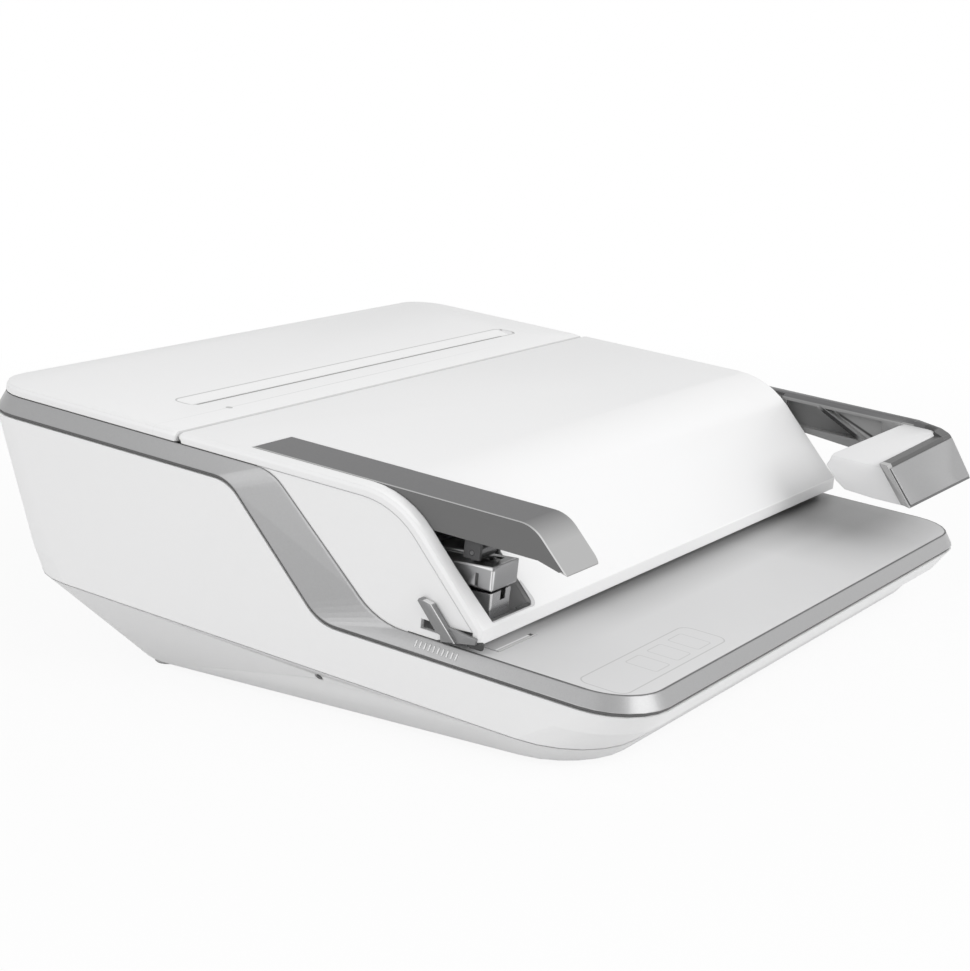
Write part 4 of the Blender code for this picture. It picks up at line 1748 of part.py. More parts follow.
def build_grip():
    def section(x, drop):
        top_z = grip_top_z(x) - drop
        rise = GRIP_TOP_RISE * grip_share(x)
        skew = GRIP_REAR_SKEW * grip_share(x)
        rear = GRIP_REAR_Y - skew
        return [(x, bar_back_y(GRIP_SOLE_Z), GRIP_SOLE_Z), (x, GRIP_SOLE_Y, GRIP_SOLE_Z),
                (x, GRIP_HEEL_Y - skew, GRIP_HEEL_Z),
                (x, GRIP_KNEE_Y - skew, GRIP_KNEE_Z), (x, rear, GRIP_SHOULDER_Z + rise / 2.0),
                (x, rear - GRIP_EDGE_RADIUS / 2.0, (GRIP_SHOULDER_Z + rise / 2.0 + top_z + drop) / 2.0 - drop),
                (x, rear - GRIP_EDGE_RADIUS, top_z), (x, bar_back_y(top_z), top_z)]

    sections = [section(GRIP_LEFT_X + GRIP_SIDE_ROUND * along, GRIP_SIDE_ROUND * down)
                for along, down in GRIP_ROUND_SHARES]
    sections.append(section(ARM_FRONT_INNER_X - GAP, 0.0))
    grip = loft("handle_grip", sections, "light_grey_plastic", "handle")
    lobe_left = ARM_FRONT_INNER_X - GAP - GRIP_EDGE_RADIUS
    fuse(grip, loft("tool_grip_lobe", lobe_rings(0.0, lobe_left), "light_grey_plastic", "handle"))
    return grip


def build_front_plate():
    # a thin plate on the slanting front of the bar, inset from the bar's edges
    low = NOSE_BOTTOM_Z + PLATE_INSET
    high = NOSE_TOP_Z - PLATE_INSET
    left = BAR_LEFT_X + PLATE_INSET
    right = ARM_OUTER_X - PLATE_INSET
    corners = ((left, low), (right, low), (right, high), (left - BAR_LEAN, high - BAR_TOP_DROP))
    rings = []
    for lift in (GAP, GAP + PLATE_SHEET):
        rings.append([(x, nose_y(z) - lift, z) for x, z in corners])
    return loft("handle_front_plate", rings, "silver_paint", "handle")


# Whole machine

def centre_on_floor():
    bpy.context.view_layer.update()
    depsgraph = bpy.context.evaluated_depsgraph_get()
    low = Vector((math.inf, math.inf, math.inf))
    high = -low
    for item in bpy.data.objects:
        if item.type != "MESH" or item.hide_render:
            continue
        solid = item.evaluated_get(depsgraph)
        for corner in solid.data.vertices:
            place = solid.matrix_world @ corner.co
            low = Vector(map(min, low, place))
            high = Vector(map(max, high, place))
    frames["root"].location = (-(low.x + high.x) / 2.0, -(low.y + high.y) / 2.0, -low.z)
    bpy.context.view_layer.update()
    print("size", tuple(round(value, 5) for value in high - low))


def build_machine():
    clear_scene()
    make_paints()
    make_frames()
    build_lower_shell()
    build_seam_strip()
    build_trim_band()
    build_base_pan()
    build_feet_and_screws()
    build_work_tray()
    build_anvil()
    build_cheeks()
    build_rear_cover()
    build_lid()
    build_hinge_pins()
    build_stapler_bracket()
    build_stapler_pins()
    build_stapler_lever()
    build_press_roller()
    build_driver_arm()
    build_driver_blade()
    build_magazine()
    build_staples()
    build_depth_lever()
    build_punch_plates()
    build_punch_bar()
    build_cranks()
    build_shaft()
    build_bushes()
    build_chassis()
    build_comb_bed()
    build_comb_fingers()
    build_hook_bar()
    build_opener_rods()
    build_chip_drawer()
    build_handle_arm()
    build_hub_bolt()
    build_grip()
    build_front_plate()
    centre_on_floor()


build_machine()
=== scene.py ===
import json
import math

import bmesh
import bpy
from mathutils import Matrix, Vector


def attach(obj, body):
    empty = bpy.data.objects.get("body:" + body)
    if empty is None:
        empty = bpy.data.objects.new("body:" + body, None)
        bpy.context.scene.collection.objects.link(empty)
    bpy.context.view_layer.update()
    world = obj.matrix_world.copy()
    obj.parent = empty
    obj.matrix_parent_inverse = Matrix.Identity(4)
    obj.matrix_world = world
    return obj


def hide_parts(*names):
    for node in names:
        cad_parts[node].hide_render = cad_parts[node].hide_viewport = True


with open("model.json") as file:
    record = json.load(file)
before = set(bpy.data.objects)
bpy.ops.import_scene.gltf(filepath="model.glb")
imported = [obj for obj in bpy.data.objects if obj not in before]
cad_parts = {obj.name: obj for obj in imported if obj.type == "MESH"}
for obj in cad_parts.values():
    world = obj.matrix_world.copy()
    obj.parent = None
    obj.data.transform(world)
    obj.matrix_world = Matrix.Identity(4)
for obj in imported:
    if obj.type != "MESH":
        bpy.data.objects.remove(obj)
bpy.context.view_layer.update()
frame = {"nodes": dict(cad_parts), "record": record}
nodes = frame["nodes"]
record = frame["record"]
print("frame loaded:", len(nodes), "nodes")

# the deck: x across, y from the tray's front to the rear, z up from the tray's face
deck = {"tilt": math.radians(6.739), "origin": Vector((-0.0048, -0.196362, 0.0386))}
deckTurn = Matrix.Rotation(deck["tilt"], 4, "X")
deckMatrix = Matrix.Translation(deck["origin"]) @ deckTurn


def deckPoint(x, y, z):
    return deckMatrix @ Vector((x, y, z))


# helpers for node trees
def feed(tree, socket, value):
    # an output socket is linked, anything else is set as the value
    if hasattr(value, "is_output"):
        tree.links.new(value, socket)
    else:
        socket.default_value = value


def addNode(tree, kind, inputs=None, operation=None):
    node = tree.nodes.new(kind)
    if operation:
        node.operation = operation
    for key, value in (inputs or {}).items():
        feed(tree, node.inputs[key], value)
    return node


def mathNode(tree, operation, first, second=0.0, clamp=False):
    node = addNode(tree, "ShaderNodeMath", {0: first, 1: second}, operation)
    node.use_clamp = clamp
    return node.outputs[0]


def vectorNode(tree, operation, first, second=(0.0, 0.0, 0.0), output=0):
    return addNode(tree, "ShaderNodeVectorMath", {0: first, 1: second}, operation).outputs[output]


def mixColour(tree, share, first, second):
    node = tree.nodes.new("ShaderNodeMix")
    node.data_type = "RGBA"
    for index, value in ((0, share), (6, first), (7, second)):
        feed(tree, node.inputs[index], value)
    return node.outputs[2]


def newGroup(name, inputs, outputs):
    group = bpy.data.node_groups.new(name, "ShaderNodeTree")
    for label, kind, value in inputs:
        socket = group.interface.new_socket(label, in_out="INPUT", socket_type=kind)
        socket.default_value = value
    for label, kind in outputs:
        group.interface.new_socket(label, in_out="OUTPUT", socket_type=kind)
    return group, group.nodes.new("NodeGroupInput"), group.nodes.new("NodeGroupOutput")


def placeGroup(tree, group, **values):
    node = tree.nodes.new("ShaderNodeGroup")
    node.node_tree = group
    for key, value in values.items():
        feed(tree, node.inputs[key], value)
    return node


def objectPlace(tree):
    return tree.nodes.new("ShaderNodeTexCoord").outputs["Object"]


def deckPlace(tree):
    # object coordinates turned into the deck's own
    turn = addNode(tree, "ShaderNodeMapping", {"Vector": objectPlace(tree)})
    turn.inputs["Location"].default_value = -(deckTurn.inverted() @ deck["origin"])
    turn.inputs["Rotation"].default_value = (-deck["tilt"], 0.0, 0.0)
    return turn.outputs["Vector"]


def swingNode(tree, noise, amount):
    # how far the noise is from its middle, times the amount
    return mathNode(tree, "MULTIPLY", mathNode(tree, "SUBTRACT", noise, 0.5), amount)


def scaledColour(tree, colour, gain):
    return addNode(tree, "ShaderNodeVectorMath", {0: colour, "Scale": gain}, "SCALE").outputs[0]


# shader groups
tintLook = {"cloudDetail": 3.0, "grainScale": 900.0, "grainDetail": 2.0}


def makeTintGroup():
    # soft colour drift and uneven gloss over a large moulding
    group, inside, outside = newGroup("mouldedTint", (
        ("Colour", "NodeSocketColor", (0.8, 0.8, 0.8, 1.0)),
        ("Drift", "NodeSocketFloat", 0.02),
        ("Scale", "NodeSocketFloat", 14.0),
        ("Roughness", "NodeSocketFloat", 0.4),
        ("Uneven", "NodeSocketFloat", 0.04)),
        (("Colour", "NodeSocketColor"), ("Roughness", "NodeSocketFloat")))
    place = objectPlace(group)
    cloud = addNode(group, "ShaderNodeTexNoise", {
        "Vector": place, "Scale": inside.outputs["Scale"], "Detail": tintLook["cloudDetail"]})
    grain = addNode(group, "ShaderNodeTexNoise", {
        "Vector": place, "Scale": tintLook["grainScale"], "Detail": tintLook["grainDetail"]})
    drift = swingNode(group, cloud.outputs["Fac"], inside.outputs["Drift"])
    colour = scaledColour(group, inside.outputs["Colour"], mathNode(group, "ADD", drift, 1.0))
    gloss = swingNode(group, grain.outputs["Fac"], inside.outputs["Uneven"])
    roughness = mathNode(group, "ADD", gloss, inside.outputs["Roughness"])
    group.links.new(colour, outside.inputs["Colour"])
    group.links.new(roughness, outside.inputs["Roughness"])
    return group


skinLook = {"pitDetail": 2.0, "flowScale": 26.0, "flowDetail": 1.0}


def makeSkinGroup():
    # spark-eroded mould texture: a fine height for a bump node
    group, inside, outside = newGroup("mouldSkin", (
        ("Scale", "NodeSocketFloat", 2200.0),
        ("Depth", "NodeSocketFloat", 1.0),
        ("Wave", "NodeSocketFloat", 0.3)),
        (("Height", "NodeSocketFloat"),))
    place = objectPlace(group)
    pits = addNode(group, "ShaderNodeTexNoise", {
        "Vector": place, "Scale": inside.outputs["Scale"], "Detail": skinLook["pitDetail"]})
    flow = addNode(group, "ShaderNodeTexNoise", {
        "Vector": place, "Scale": skinLook["flowScale"], "Detail": skinLook["flowDetail"]})
    pitHeight = mathNode(group, "MULTIPLY", pits.outputs["Fac"], inside.outputs["Depth"])
    flowHeight = mathNode(group, "MULTIPLY", flow.outputs["Fac"], inside.outputs["Wave"])
    group.links.new(mathNode(group, "ADD", pitHeight, flowHeight), outside.inputs["Height"])
    return group


flakeScale = 1600.0


def makeFlakeGroup():
    # metallic paint: fine bright flakes over the base colour
    group, inside, outside = newGroup("paintFlake", (
        ("Colour", "NodeSocketColor", (0.4, 0.4, 0.4, 1.0)),
        ("Sparkle", "NodeSocketFloat", 0.12)),
        (("Colour", "NodeSocketColor"),))
    flakes = addNode(group, "ShaderNodeTexVoronoi", {"Vector": objectPlace(group), "Scale": flakeScale})
    tone = addNode(group, "ShaderNodeSeparateColor", {"Color": flakes.outputs["Color"]})
    gain = mathNode(group, "ADD", swingNode(group, tone.outputs[0], inside.outputs["Sparkle"]), 1.0)
    group.links.new(scaledColour(group, inside.outputs["Colour"], gain), outside.inputs["Colour"])
    return group


def makeZoneGroup():
    # a soft-edged box in deck coordinates; Slope leans its height along the deck's depth
    group, inside, outside = newGroup("deckZone", (
        ("Low", "NodeSocketVector", (-1.0, -1.0, -1.0)),
        ("High", "NodeSocketVector", (1.0, 1.0, 1.0)),
        ("Blur", "NodeSocketVector", (0.0002, 0.0002, 0.0002)),
        ("Slope", "NodeSocketFloat", 0.0)),
        (("Mask", "NodeSocketFloat"),))
    axes = addNode(group, "ShaderNodeSeparateXYZ", {0: deckPlace(group)})
    lean = mathNode(group, "MULTIPLY", axes.outputs[1], inside.outputs["Slope"])
    height = mathNode(group, "SUBTRACT", axes.outputs[2], lean)
    leaned = addNode(group, "ShaderNodeCombineXYZ", {
        0: axes.outputs[0], 1: axes.outputs[1], 2: height})
    spot = leaned.outputs[0]
    levels = []
    for first, second in ((spot, inside.outputs["Low"]), (inside.outputs["High"], spot)):
        past = vectorNode(group, "SUBTRACT", first, second)
        reach = vectorNode(group, "DIVIDE", past, inside.outputs["Blur"])
        level = vectorNode(group, "MAXIMUM", vectorNode(group, "ADD", reach, (0.5, 0.5, 0.5)))
        levels.append(vectorNode(group, "MINIMUM", level, (1.0, 1.0, 1.0)))
    both = vectorNode(group, "MULTIPLY", levels[0], levels[1])
    parts = addNode(group, "ShaderNodeSeparateXYZ", {0: both})
    deepAndHigh = mathNode(group, "MULTIPLY", parts.outputs[1], parts.outputs[2])
    mask = mathNode(group, "MULTIPLY", parts.outputs[0], deepAndHigh)
    group.links.new(mask, outside.inputs["Mask"])
    return group


def makeOutlineGroup():
    # a rounded rectangle lying on the deck: its drawn line and its inside
    group, inside, outside = newGroup("deckOutline", (
        ("Centre", "NodeSocketVector", (0.0, 0.0, 0.0)),
        ("Half", "NodeSocketVector", (0.01, 0.01, 1.0)),
        ("Corner", "NodeSocketFloat", 0.002),
        ("Width", "NodeSocketFloat", 0.0006),
        ("Blur", "NodeSocketFloat", 0.0002)),
        (("Line", "NodeSocketFloat"), ("Inside", "NodeSocketFloat")))
    offset = vectorNode(group, "SUBTRACT", deckPlace(group), inside.outputs["Centre"])
    flat = vectorNode(group, "MULTIPLY", vectorNode(group, "ABSOLUTE", offset), (1.0, 1.0, 0.0))
    core = vectorNode(group, "SUBTRACT", inside.outputs["Half"], inside.outputs["Corner"])
    past = vectorNode(group, "SUBTRACT", flat, core)
    outer = vectorNode(group, "LENGTH", vectorNode(group, "MAXIMUM", past), output=1)
    parts = addNode(group, "ShaderNodeSeparateXYZ", {0: past})
    nearest = mathNode(group, "MAXIMUM", parts.outputs[0], parts.outputs[1])
    inner = mathNode(group, "MINIMUM", nearest, 0.0)
    reach = mathNode(group, "SUBTRACT", mathNode(group, "ADD", outer, inner), inside.outputs["Corner"])
    halfWidth = mathNode(group, "MULTIPLY", inside.outputs["Width"], 0.5)
    slack = mathNode(group, "SUBTRACT", halfWidth, mathNode(group, "ABSOLUTE", reach))
    lineLevel = mathNode(group, "DIVIDE", slack, inside.outputs["Blur"])
    fillLevel = mathNode(group, "DIVIDE", reach, inside.outputs["Blur"])
    line = mathNode(group, "ADD", lineLevel, 0.5, clamp=True)
    fill = mathNode(group, "SUBTRACT", 0.5, fillLevel, clamp=True)
    group.links.new(line, outside.inputs["Line"])
    group.links.new(fill, outside.inputs["Inside"])
    return group


tintGroup = makeTintGroup()
skinGroup = makeSkinGroup()
flakeGroup = makeFlakeGroup()
zoneGroup = makeZoneGroup()
outlineGroup = makeOutlineGroup()

# what a mark has where it says nothing else, in metres
markBase = {"blur": (0.0003, 0.0003, 0.0003), "slope": 0.0, "width": 0.0006, "soft": 0.0003,
            "fill": False, "share": 1.0}


def markColour(tree, colour, mark):
    # paints one zone, outline or filled outline over the colour
    mark = {**markBase, **mark}
    if "low" in mark:
        node = placeGroup(tree, zoneGroup, Low=mark["low"], High=mark["high"], Blur=mark["blur"],
                          Slope=mark["slope"])
        mask = node.outputs["Mask"]
    else:
        node = placeGroup(tree, outlineGroup, Centre=mark["centre"], Half=mark["half"] + (1.0,),
                          Corner=mark["corner"], Width=mark["width"], Blur=mark["soft"])
        mask = node.outputs["Inside" if mark["fill"] else "Line"]
    share = mathNode(tree, "MULTIPLY", mask, mark["share"])
    return mixColour(tree, share, colour, (mark["tone"],) * 3 + (1.0,))


finishBase = {"metal": 0.0, "ior": 1.46, "coatRoughness": 0.1, "edgeSamples": 4, "bumpDistance": 0.0001}


def makeFinish(name, look):
    look = {**finishBase, **look}
    material = bpy.data.materials.new(name)
    material.use_nodes = True
    tree = material.node_tree
    shader = tree.nodes["Principled BSDF"]
    tint = placeGroup(tree, tintGroup, Colour=look["tone"] + (1.0,), Drift=look["drift"],
                      Roughness=look["roughness"], Uneven=look["uneven"])
    colour = tint.outputs["Colour"]
    if "sparkle" in look:
        flake = placeGroup(tree, flakeGroup, Colour=colour, Sparkle=look["sparkle"])
        colour = flake.outputs["Colour"]
    for mark in look.get("marks", ()):
        colour = markColour(tree, colour, mark)
    skin = placeGroup(tree, skinGroup, Scale=look["grain"])
    edge = addNode(tree, "ShaderNodeBevel", {"Radius": look["edge"]})
    edge.samples = look["edgeSamples"]
    bump = addNode(tree, "ShaderNodeBump", {
        "Strength": look["bump"], "Distance": look["bumpDistance"],
        "Normal": edge.outputs[0], "Height": skin.outputs["Height"]})
    tree.links.new(colour, shader.inputs["Base Color"])
    tree.links.new(tint.outputs["Roughness"], shader.inputs["Roughness"])
    tree.links.new(bump.outputs[0], shader.inputs["Normal"])
    shader.inputs["Metallic"].default_value = look["metal"]
    shader.inputs["IOR"].default_value = look["ior"]
    if "coat" in look:
        shader.inputs["Coat Weight"].default_value = look["coat"]
        shader.inputs["Coat Roughness"].default_value = look["coatRoughness"]
    return material


# one finish for each of the record's slots
finishes = {
    "white_plastic": {
        "tone": (0.800, 0.800, 0.802), "roughness": 0.42, "drift": 0.012, "uneven": 0.06,
        "grain": 2400.0, "bump": 0.08, "edge": 0.0008},
    "light_grey_plastic": {
        "tone": (0.730, 0.730, 0.734), "roughness": 0.42, "drift": 0.015, "uneven": 0.06,
        "grain": 2400.0, "bump": 0.10, "edge": 0.0008},
    "tray_grey": {
        "tone": (0.620, 0.620, 0.623), "roughness": 0.40, "drift": 0.02, "uneven": 0.08,
        "grain": 1800.0, "bump": 0.10, "edge": 0.0004},
    "silver_paint": {
        "tone": (0.330, 0.330, 0.333), "roughness": 0.34, "drift": 0.02, "uneven": 0.06,
        "grain": 2600.0, "bump": 0.04, "edge": 0.0005, "metal": 0.45, "sparkle": 0.04, "coat": 0.2},
    "dark_grey_plastic": {
        "tone": (0.110, 0.110, 0.112), "roughness": 0.38, "drift": 0.03, "uneven": 0.06,
        "grain": 2200.0, "bump": 0.06, "edge": 0.0006, "ior": 1.40, "sparkle": 0.04},
    "black_rubber": {
        "tone": (0.030, 0.030, 0.030), "roughness": 0.78, "drift": 0.10, "uneven": 0.10,
        "grain": 1500.0, "bump": 0.30, "edge": 0.0005},
    "plated_steel": {
        "tone": (0.600, 0.600, 0.610), "roughness": 0.30, "drift": 0.05, "uneven": 0.12,
        "grain": 1200.0, "bump": 0.06, "edge": 0.0003, "metal": 1.0},
    "bright_steel": {
        "tone": (0.560, 0.560, 0.570), "roughness": 0.26, "drift": 0.04, "uneven": 0.10,
        "grain": 1600.0, "bump": 0.04, "edge": 0.0005, "metal": 1.0}}
materials = {slot: makeFinish(slot + "_finish", look) for slot, look in finishes.items()}
slotOf = {row["node"]: row["material_slot"] for row in record["subparts"]}
bodyOf = {name: body for body, names in record["behaviour"]["bodies"].items() for name in names}
for nodeName, node in nodes.items():
    node.data.materials.clear()
    node.data.materials.append(materials[slotOf[nodeName]])


def variantFinish(name, slotName, changes):
    # a slot's finish with a few of its values changed
    return makeFinish(name, {**finishes[slotName], **changes})


# solids that show deep inside or below keep their shape and get a tone of their own: the bracket, pins
# and roller behind the head get a darker steel as painted shade, the feet a lighter rubber
paintedShadeSteel = variantFinish("painted_shade_steel", "plated_steel", {"tone": (0.16, 0.16, 0.163), "metal": 0.6})
footRubber = variantFinish("foot_rubber", "black_rubber", {"tone": (0.46, 0.46, 0.462)})
for nodeName in ("stapler_bracket", "lever_pivot_pin", "arm_pivot_pin", "press_roller"):
    nodes[nodeName].data.materials[0] = paintedShadeSteel
for nodeName in ("foot_rear_left", "foot_rear_right", "foot_front_left", "foot_front_right"):
    nodes[nodeName].data.materials[0] = footRubber
print("finishes on", len(nodes), "nodes")


# helpers for meshes
def meshFrom(build, name):
    mesh = bpy.data.meshes.new(name)
    build.to_mesh(mesh)
    build.free()
    return mesh


def shadeSmooth(mesh, sharpAngle=None):
    mesh.polygons.foreach_set("use_smooth", [True] * len(mesh.polygons))
    if sharpAngle:
        mesh.set_sharp_from_angle(angle=math.radians(sharpAngle))


def facingTurn(facing):
    return Vector(facing).to_track_quat("Z", "Y").to_matrix().to_4x4()


def addBox(build, size):
    bmesh.ops.create_cube(build, size=1.0)
    bmesh.ops.transform(build, matrix=Matrix.Diagonal(size + (1.0,)), verts=build.verts)


def layOnDeck(build, centre, turn=Matrix.Identity(4)):
    place = deckMatrix @ Matrix.Translation(centre) @ turn
    bmesh.ops.transform(build, matrix=place, verts=build.verts)


def newPiece(name, mesh, body, material):
    piece = bpy.data.objects.new(name, mesh)
    bpy.context.scene.collection.objects.link(piece)
    mesh.materials.clear()
    mesh.materials.append(material)
    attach(piece, body)
    return piece


# dressed pieces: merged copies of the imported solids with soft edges, small cuts and marks
mergeLook = {"reach": 0.000004, "flatAngle": 0.4}
roundBase = {"angle": 28.0, "steps": 3, "clamp": True}
roundSlack = 0.00002
cutSides = 24


def mergedMesh(nodeName):
    build = bmesh.new()
    build.from_mesh(nodes[nodeName].data)
    bmesh.ops.remove_doubles(build, verts=build.verts, dist=mergeLook["reach"])
    bmesh.ops.dissolve_limit(build, angle_limit=math.radians(mergeLook["flatAngle"]),
                             verts=build.verts, edges=build.edges)
    return build


def trimMesh(build, spot, facing):
    # cuts away what lies past a plane through a deck place, and closes the cut
    everything = build.verts[:] + build.edges[:] + build.faces[:]
    cut = bmesh.ops.bisect_plane(build, geom=everything, plane_co=deckPoint(*spot),
                                 plane_no=deckTurn.to_3x3() @ Vector(facing), clear_outer=True)
    rim = [item for item in cut["geom_cut"] if isinstance(item, bmesh.types.BMEdge)]
    bmesh.ops.edgeloop_fill(build, edges=rim)
    bmesh.ops.recalc_face_normals(build, faces=build.faces)


def insideRange(first, second, spans):
    return all(low - roundSlack <= min(a, b) and max(a, b) <= high + roundSlack
               for a, b, (low, high) in zip(first, second, spans))


def roundEdges(build, rule):
    # rounds the sharp outer edges whose ends both lie in the rule's range of deck places
    rule = {**roundBase, **rule}
    back = deckMatrix.inverted()
    chosen = []
    for edge in build.edges:
        if len(edge.link_faces) != 2 or not edge.is_convex:
            continue
        if edge.calc_face_angle(0.0) < math.radians(rule["angle"]):
            continue
        first, second = (back @ vert.co for vert in edge.verts)
        if insideRange(first, second, rule["range"]):
            chosen.append(edge)
    if chosen:
        bmesh.ops.bevel(build, geom=chosen, offset=rule["radius"], segments=rule["steps"],
                        affect="EDGES", profile=0.5, clamp_overlap=rule["clamp"])


def makeCutter(cut):
    # a drill where the cut has a radius, else a box of its size, laid in deck coordinates
    build = bmesh.new()
    if "radius" in cut:
        bmesh.ops.create_cone(build, cap_ends=True, segments=cutSides, radius1=cut["radius"],
                              radius2=cut["radius"], depth=cut["depth"])
        layOnDeck(build, cut["centre"], facingTurn(cut.get("facing", (0.0, 0.0, 1.0))))
    else:
        addBox(build, cut["size"])
        layOnDeck(build, cut["centre"])
    cutter = bpy.data.objects.new("cutter", meshFrom(build, "cutter"))
    bpy.context.scene.collection.objects.link(cutter)
    return cutter


def cutMesh(mesh, cuts):
    # sinks small holes and slots into a dressed copy and gives back its new mesh
    host = bpy.data.objects.new("host", mesh)
    bpy.context.scene.collection.objects.link(host)
    cutters = [makeCutter(cut) for cut in cuts]
    for cutter in cutters:
        modifier = host.modifiers.new("cut", "BOOLEAN")
        modifier.operation = "DIFFERENCE"
        modifier.solver = "EXACT"
        modifier.object = cutter
    bpy.context.view_layer.update()
    evaluated = host.evaluated_get(bpy.context.evaluated_depsgraph_get())
    result = bpy.data.meshes.new_from_object(evaluated)
    host.modifiers.clear()
    for thing in cutters + [host]:
        bpy.data.objects.remove(thing)
    return result


def dressNode(nodeName, look):
    build = mergedMesh(nodeName)
    for spot, facing in look.get("trims", ()):
        trimMesh(build, spot, facing)
    for rule in look.get("rounds", ()):
        roundEdges(build, rule)
    name = nodeName + "_dressed"
    mesh = meshFrom(build, name)
    if "cuts" in look:
        mesh = cutMesh(mesh, look["cuts"])
        mesh.name = name
    shadeSmooth(mesh, look.get("smooth", 32.0))
    slotName = slotOf[nodeName]
    material = materials[slotName]
    if "finish" in look:
        material = variantFinish(nodeName + "_finish", slotName, look["finish"])
    piece = newPiece(name, mesh, bodyOf[nodeName], material)
    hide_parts(nodeName)


everywhere = ((-1.0, 1.0), (-1.0, 1.0), (-1.0, 1.0))
screwSpot = {"centre": (-0.2019, 0.1701, -0.0365), "facing": (-0.79, 0.0, -0.61)}

basePanLook = {
    "cuts": ({**screwSpot, "radius": 0.0023, "depth": 0.0016},),
    "finish": {"tone": (0.725, 0.725, 0.727)}}

# a real rubber strip, greyed to stand for the shade line in the crease under the band: painted shade
seamStripLook = {"finish": {"tone": (0.13, 0.13, 0.13)}}

# a painted highlight along the band's lower edge at the front
trimBandLook = {"finish": {"marks": (
    {"low": (-1.0, -1.0, -0.0075), "high": (1.0, 0.104, -0.0068),
     "blur": (0.1, 0.01, 0.0003), "tone": 0.48},)}}

# painted shade under the lid, a painted darkening under the handle grip at the right, the label's
# outline, its page outlines, and a painted dark line for the shade in the gap at the rim
pageOutlines = tuple({"centre": (x, 0.0215, 0.0), "half": (0.0068, 0.0084), "corner": 0.0016,
                      "tone": 0.50} for x in (-0.1500, -0.1290, -0.1080))
trayLook = {"finish": {"marks": (
    {"low": (-0.13, 0.068, -1.0), "high": (0.30, 0.30, 1.0), "blur": (0.08, 0.030, 1.0),
     "tone": 0.30, "share": 0.7},
    {"low": (0.10, 0.018, -1.0), "high": (0.23, 0.090, 1.0), "blur": (0.09, 0.050, 1.0),
     "tone": 0.26, "share": 0.8},
    {"centre": (-0.1422, 0.0217, 0.0), "half": (0.0520, 0.0125), "corner": 0.0060,
     "width": 0.0007, "tone": 0.46},
    *pageOutlines,
    {"centre": (0.0, 0.2003, 0.0), "half": (0.2003, 0.2000), "corner": 0.0257,
     "width": 0.0014, "tone": 0.13})}}

# the slot's bright lead-in, its outline, a painted shadow along its front edge, the seam, the dot and
# its faint line
coverLook = {"finish": {"marks": (
    {"low": (-0.1534, 0.2994, 0.0), "high": (0.1646, 0.3130, 1.0), "tone": 0.84, "share": 0.6},
    {"centre": (0.0056, 0.3058, 0.0), "half": (0.1600, 0.0075), "corner": 0.0060,
     "width": 0.0010, "tone": 0.52},
    {"low": (-0.1508, 0.2982, 0.0), "high": (0.1465, 0.29965, 1.0),
     "blur": (0.0004, 0.0002, 0.1), "tone": 0.22},
    {"low": (-0.2, 0.2680, 0.0), "high": (0.2, 0.2706, 1.0), "blur": (0.001, 0.0003, 0.1),
     "tone": 0.62},
    {"centre": (-0.1415, 0.2848, 0.0), "half": (0.0019, 0.0019), "corner": 0.0019,
     "fill": True, "tone": 0.45},
    {"low": (-0.1415, 0.28455, 0.0), "high": (0.050, 0.28505, 1.0),
     "blur": (0.16, 0.0003, 0.1), "tone": 0.55})}}

# painted shade on the window's right inner wall, the rear seam, painted shade on the window's sill, and
# painted light on the front edge at the right
lidLook = {"finish": {"marks": (
    {"low": (-0.15445, 0.0834, 0.0), "high": (-0.1540, 0.30, 0.06), "tone": 0.60},
    {"low": (-0.21, 0.2672, 0.0), "high": (0.21, 0.2690, 1.0), "blur": (0.001, 0.0003, 0.1),
     "tone": 0.64},
    {"low": (-0.1905, 0.0836, 0.0125), "high": (-0.1543, 0.12, 0.0134), "tone": 0.20},
    {"low": (0.10, -1.0, 0.0), "high": (1.0, 0.0819, 0.0131), "blur": (0.20, 0.0003, 0.0003),
     "tone": 0.97})}}

# a painted highlight along the plate's front edge, and painted shade in the hole at its right end
anvilLook = {
    "cuts": ({"centre": (-0.1600, 0.0796, 0.0004), "size": (0.0026, 0.0020, 0.0008)},),
    "finish": {"tone": (0.55, 0.55, 0.552), "metal": 0.0, "roughness": 0.40, "marks": (
        {"low": (-0.1905, 0.0793, -1.0), "high": (-0.1614, 0.0802, 1.0), "tone": 0.85},
        {"low": (-0.1614, 0.0786, -1.0), "high": (-0.1588, 0.0806, 1.0), "tone": 0.012})}}

# painted shade in the notch in the front, and a painted highlight along the left edge
magazineLook = {
    "cuts": ({"centre": (-0.17435, 0.0886, 0.0216), "size": (0.0043, 0.0024, 0.0048)},),
    "finish": {"tone": (0.42, 0.42, 0.425), "metal": 0.8, "bump": 0.01, "uneven": 0.02, "marks": (
        {"low": (-0.1765, 0.08, 0.0192), "high": (-0.1722, 0.0892, 0.03), "tone": 0.02},
        {"low": (-0.1856, 0.08, 0.0160), "high": (-0.1836, 0.0892, 0.03), "tone": 0.85})}}

# painted light and shade: the left side lighter than the dark top, a painted reflection of the front
# light on the nose, and a painted highlight along the left edge
leverLook = {
    "rounds": (
        {"range": ((-0.1612, -0.1606), (0.0460, 0.0510), (0.0446, 0.0468)), "radius": 0.0026,
         "steps": 6, "angle": 60.0, "clamp": False},
        {"range": ((-0.1924, -0.1918), (0.0460, 0.0510), (0.0446, 0.0468)), "radius": 0.0014,
         "steps": 6, "angle": 60.0, "clamp": False}),
    "smooth": 13.0,
    "finish": {"tone": (0.078, 0.078, 0.080), "marks": (
        {"low": (-0.3, -0.1, 0.0), "high": (-0.19185, 0.3, 0.1), "tone": 0.135},
        {"low": (-0.19185, -0.1, 0.0), "high": (0.0, 0.066, 0.1), "blur": (0.0002, 0.016, 0.001),
         "tone": 0.37},
        {"low": (-0.1920, -0.1, 0.0), "high": (-0.1904, 0.229, 0.1),
         "blur": (0.0001, 0.0003, 0.0003), "tone": 0.36},
        {"low": (-0.1920, -0.1, 0.0), "high": (-0.1907, 0.066, 0.1),
         "blur": (0.0001, 0.006, 0.0003), "tone": 0.55})}}
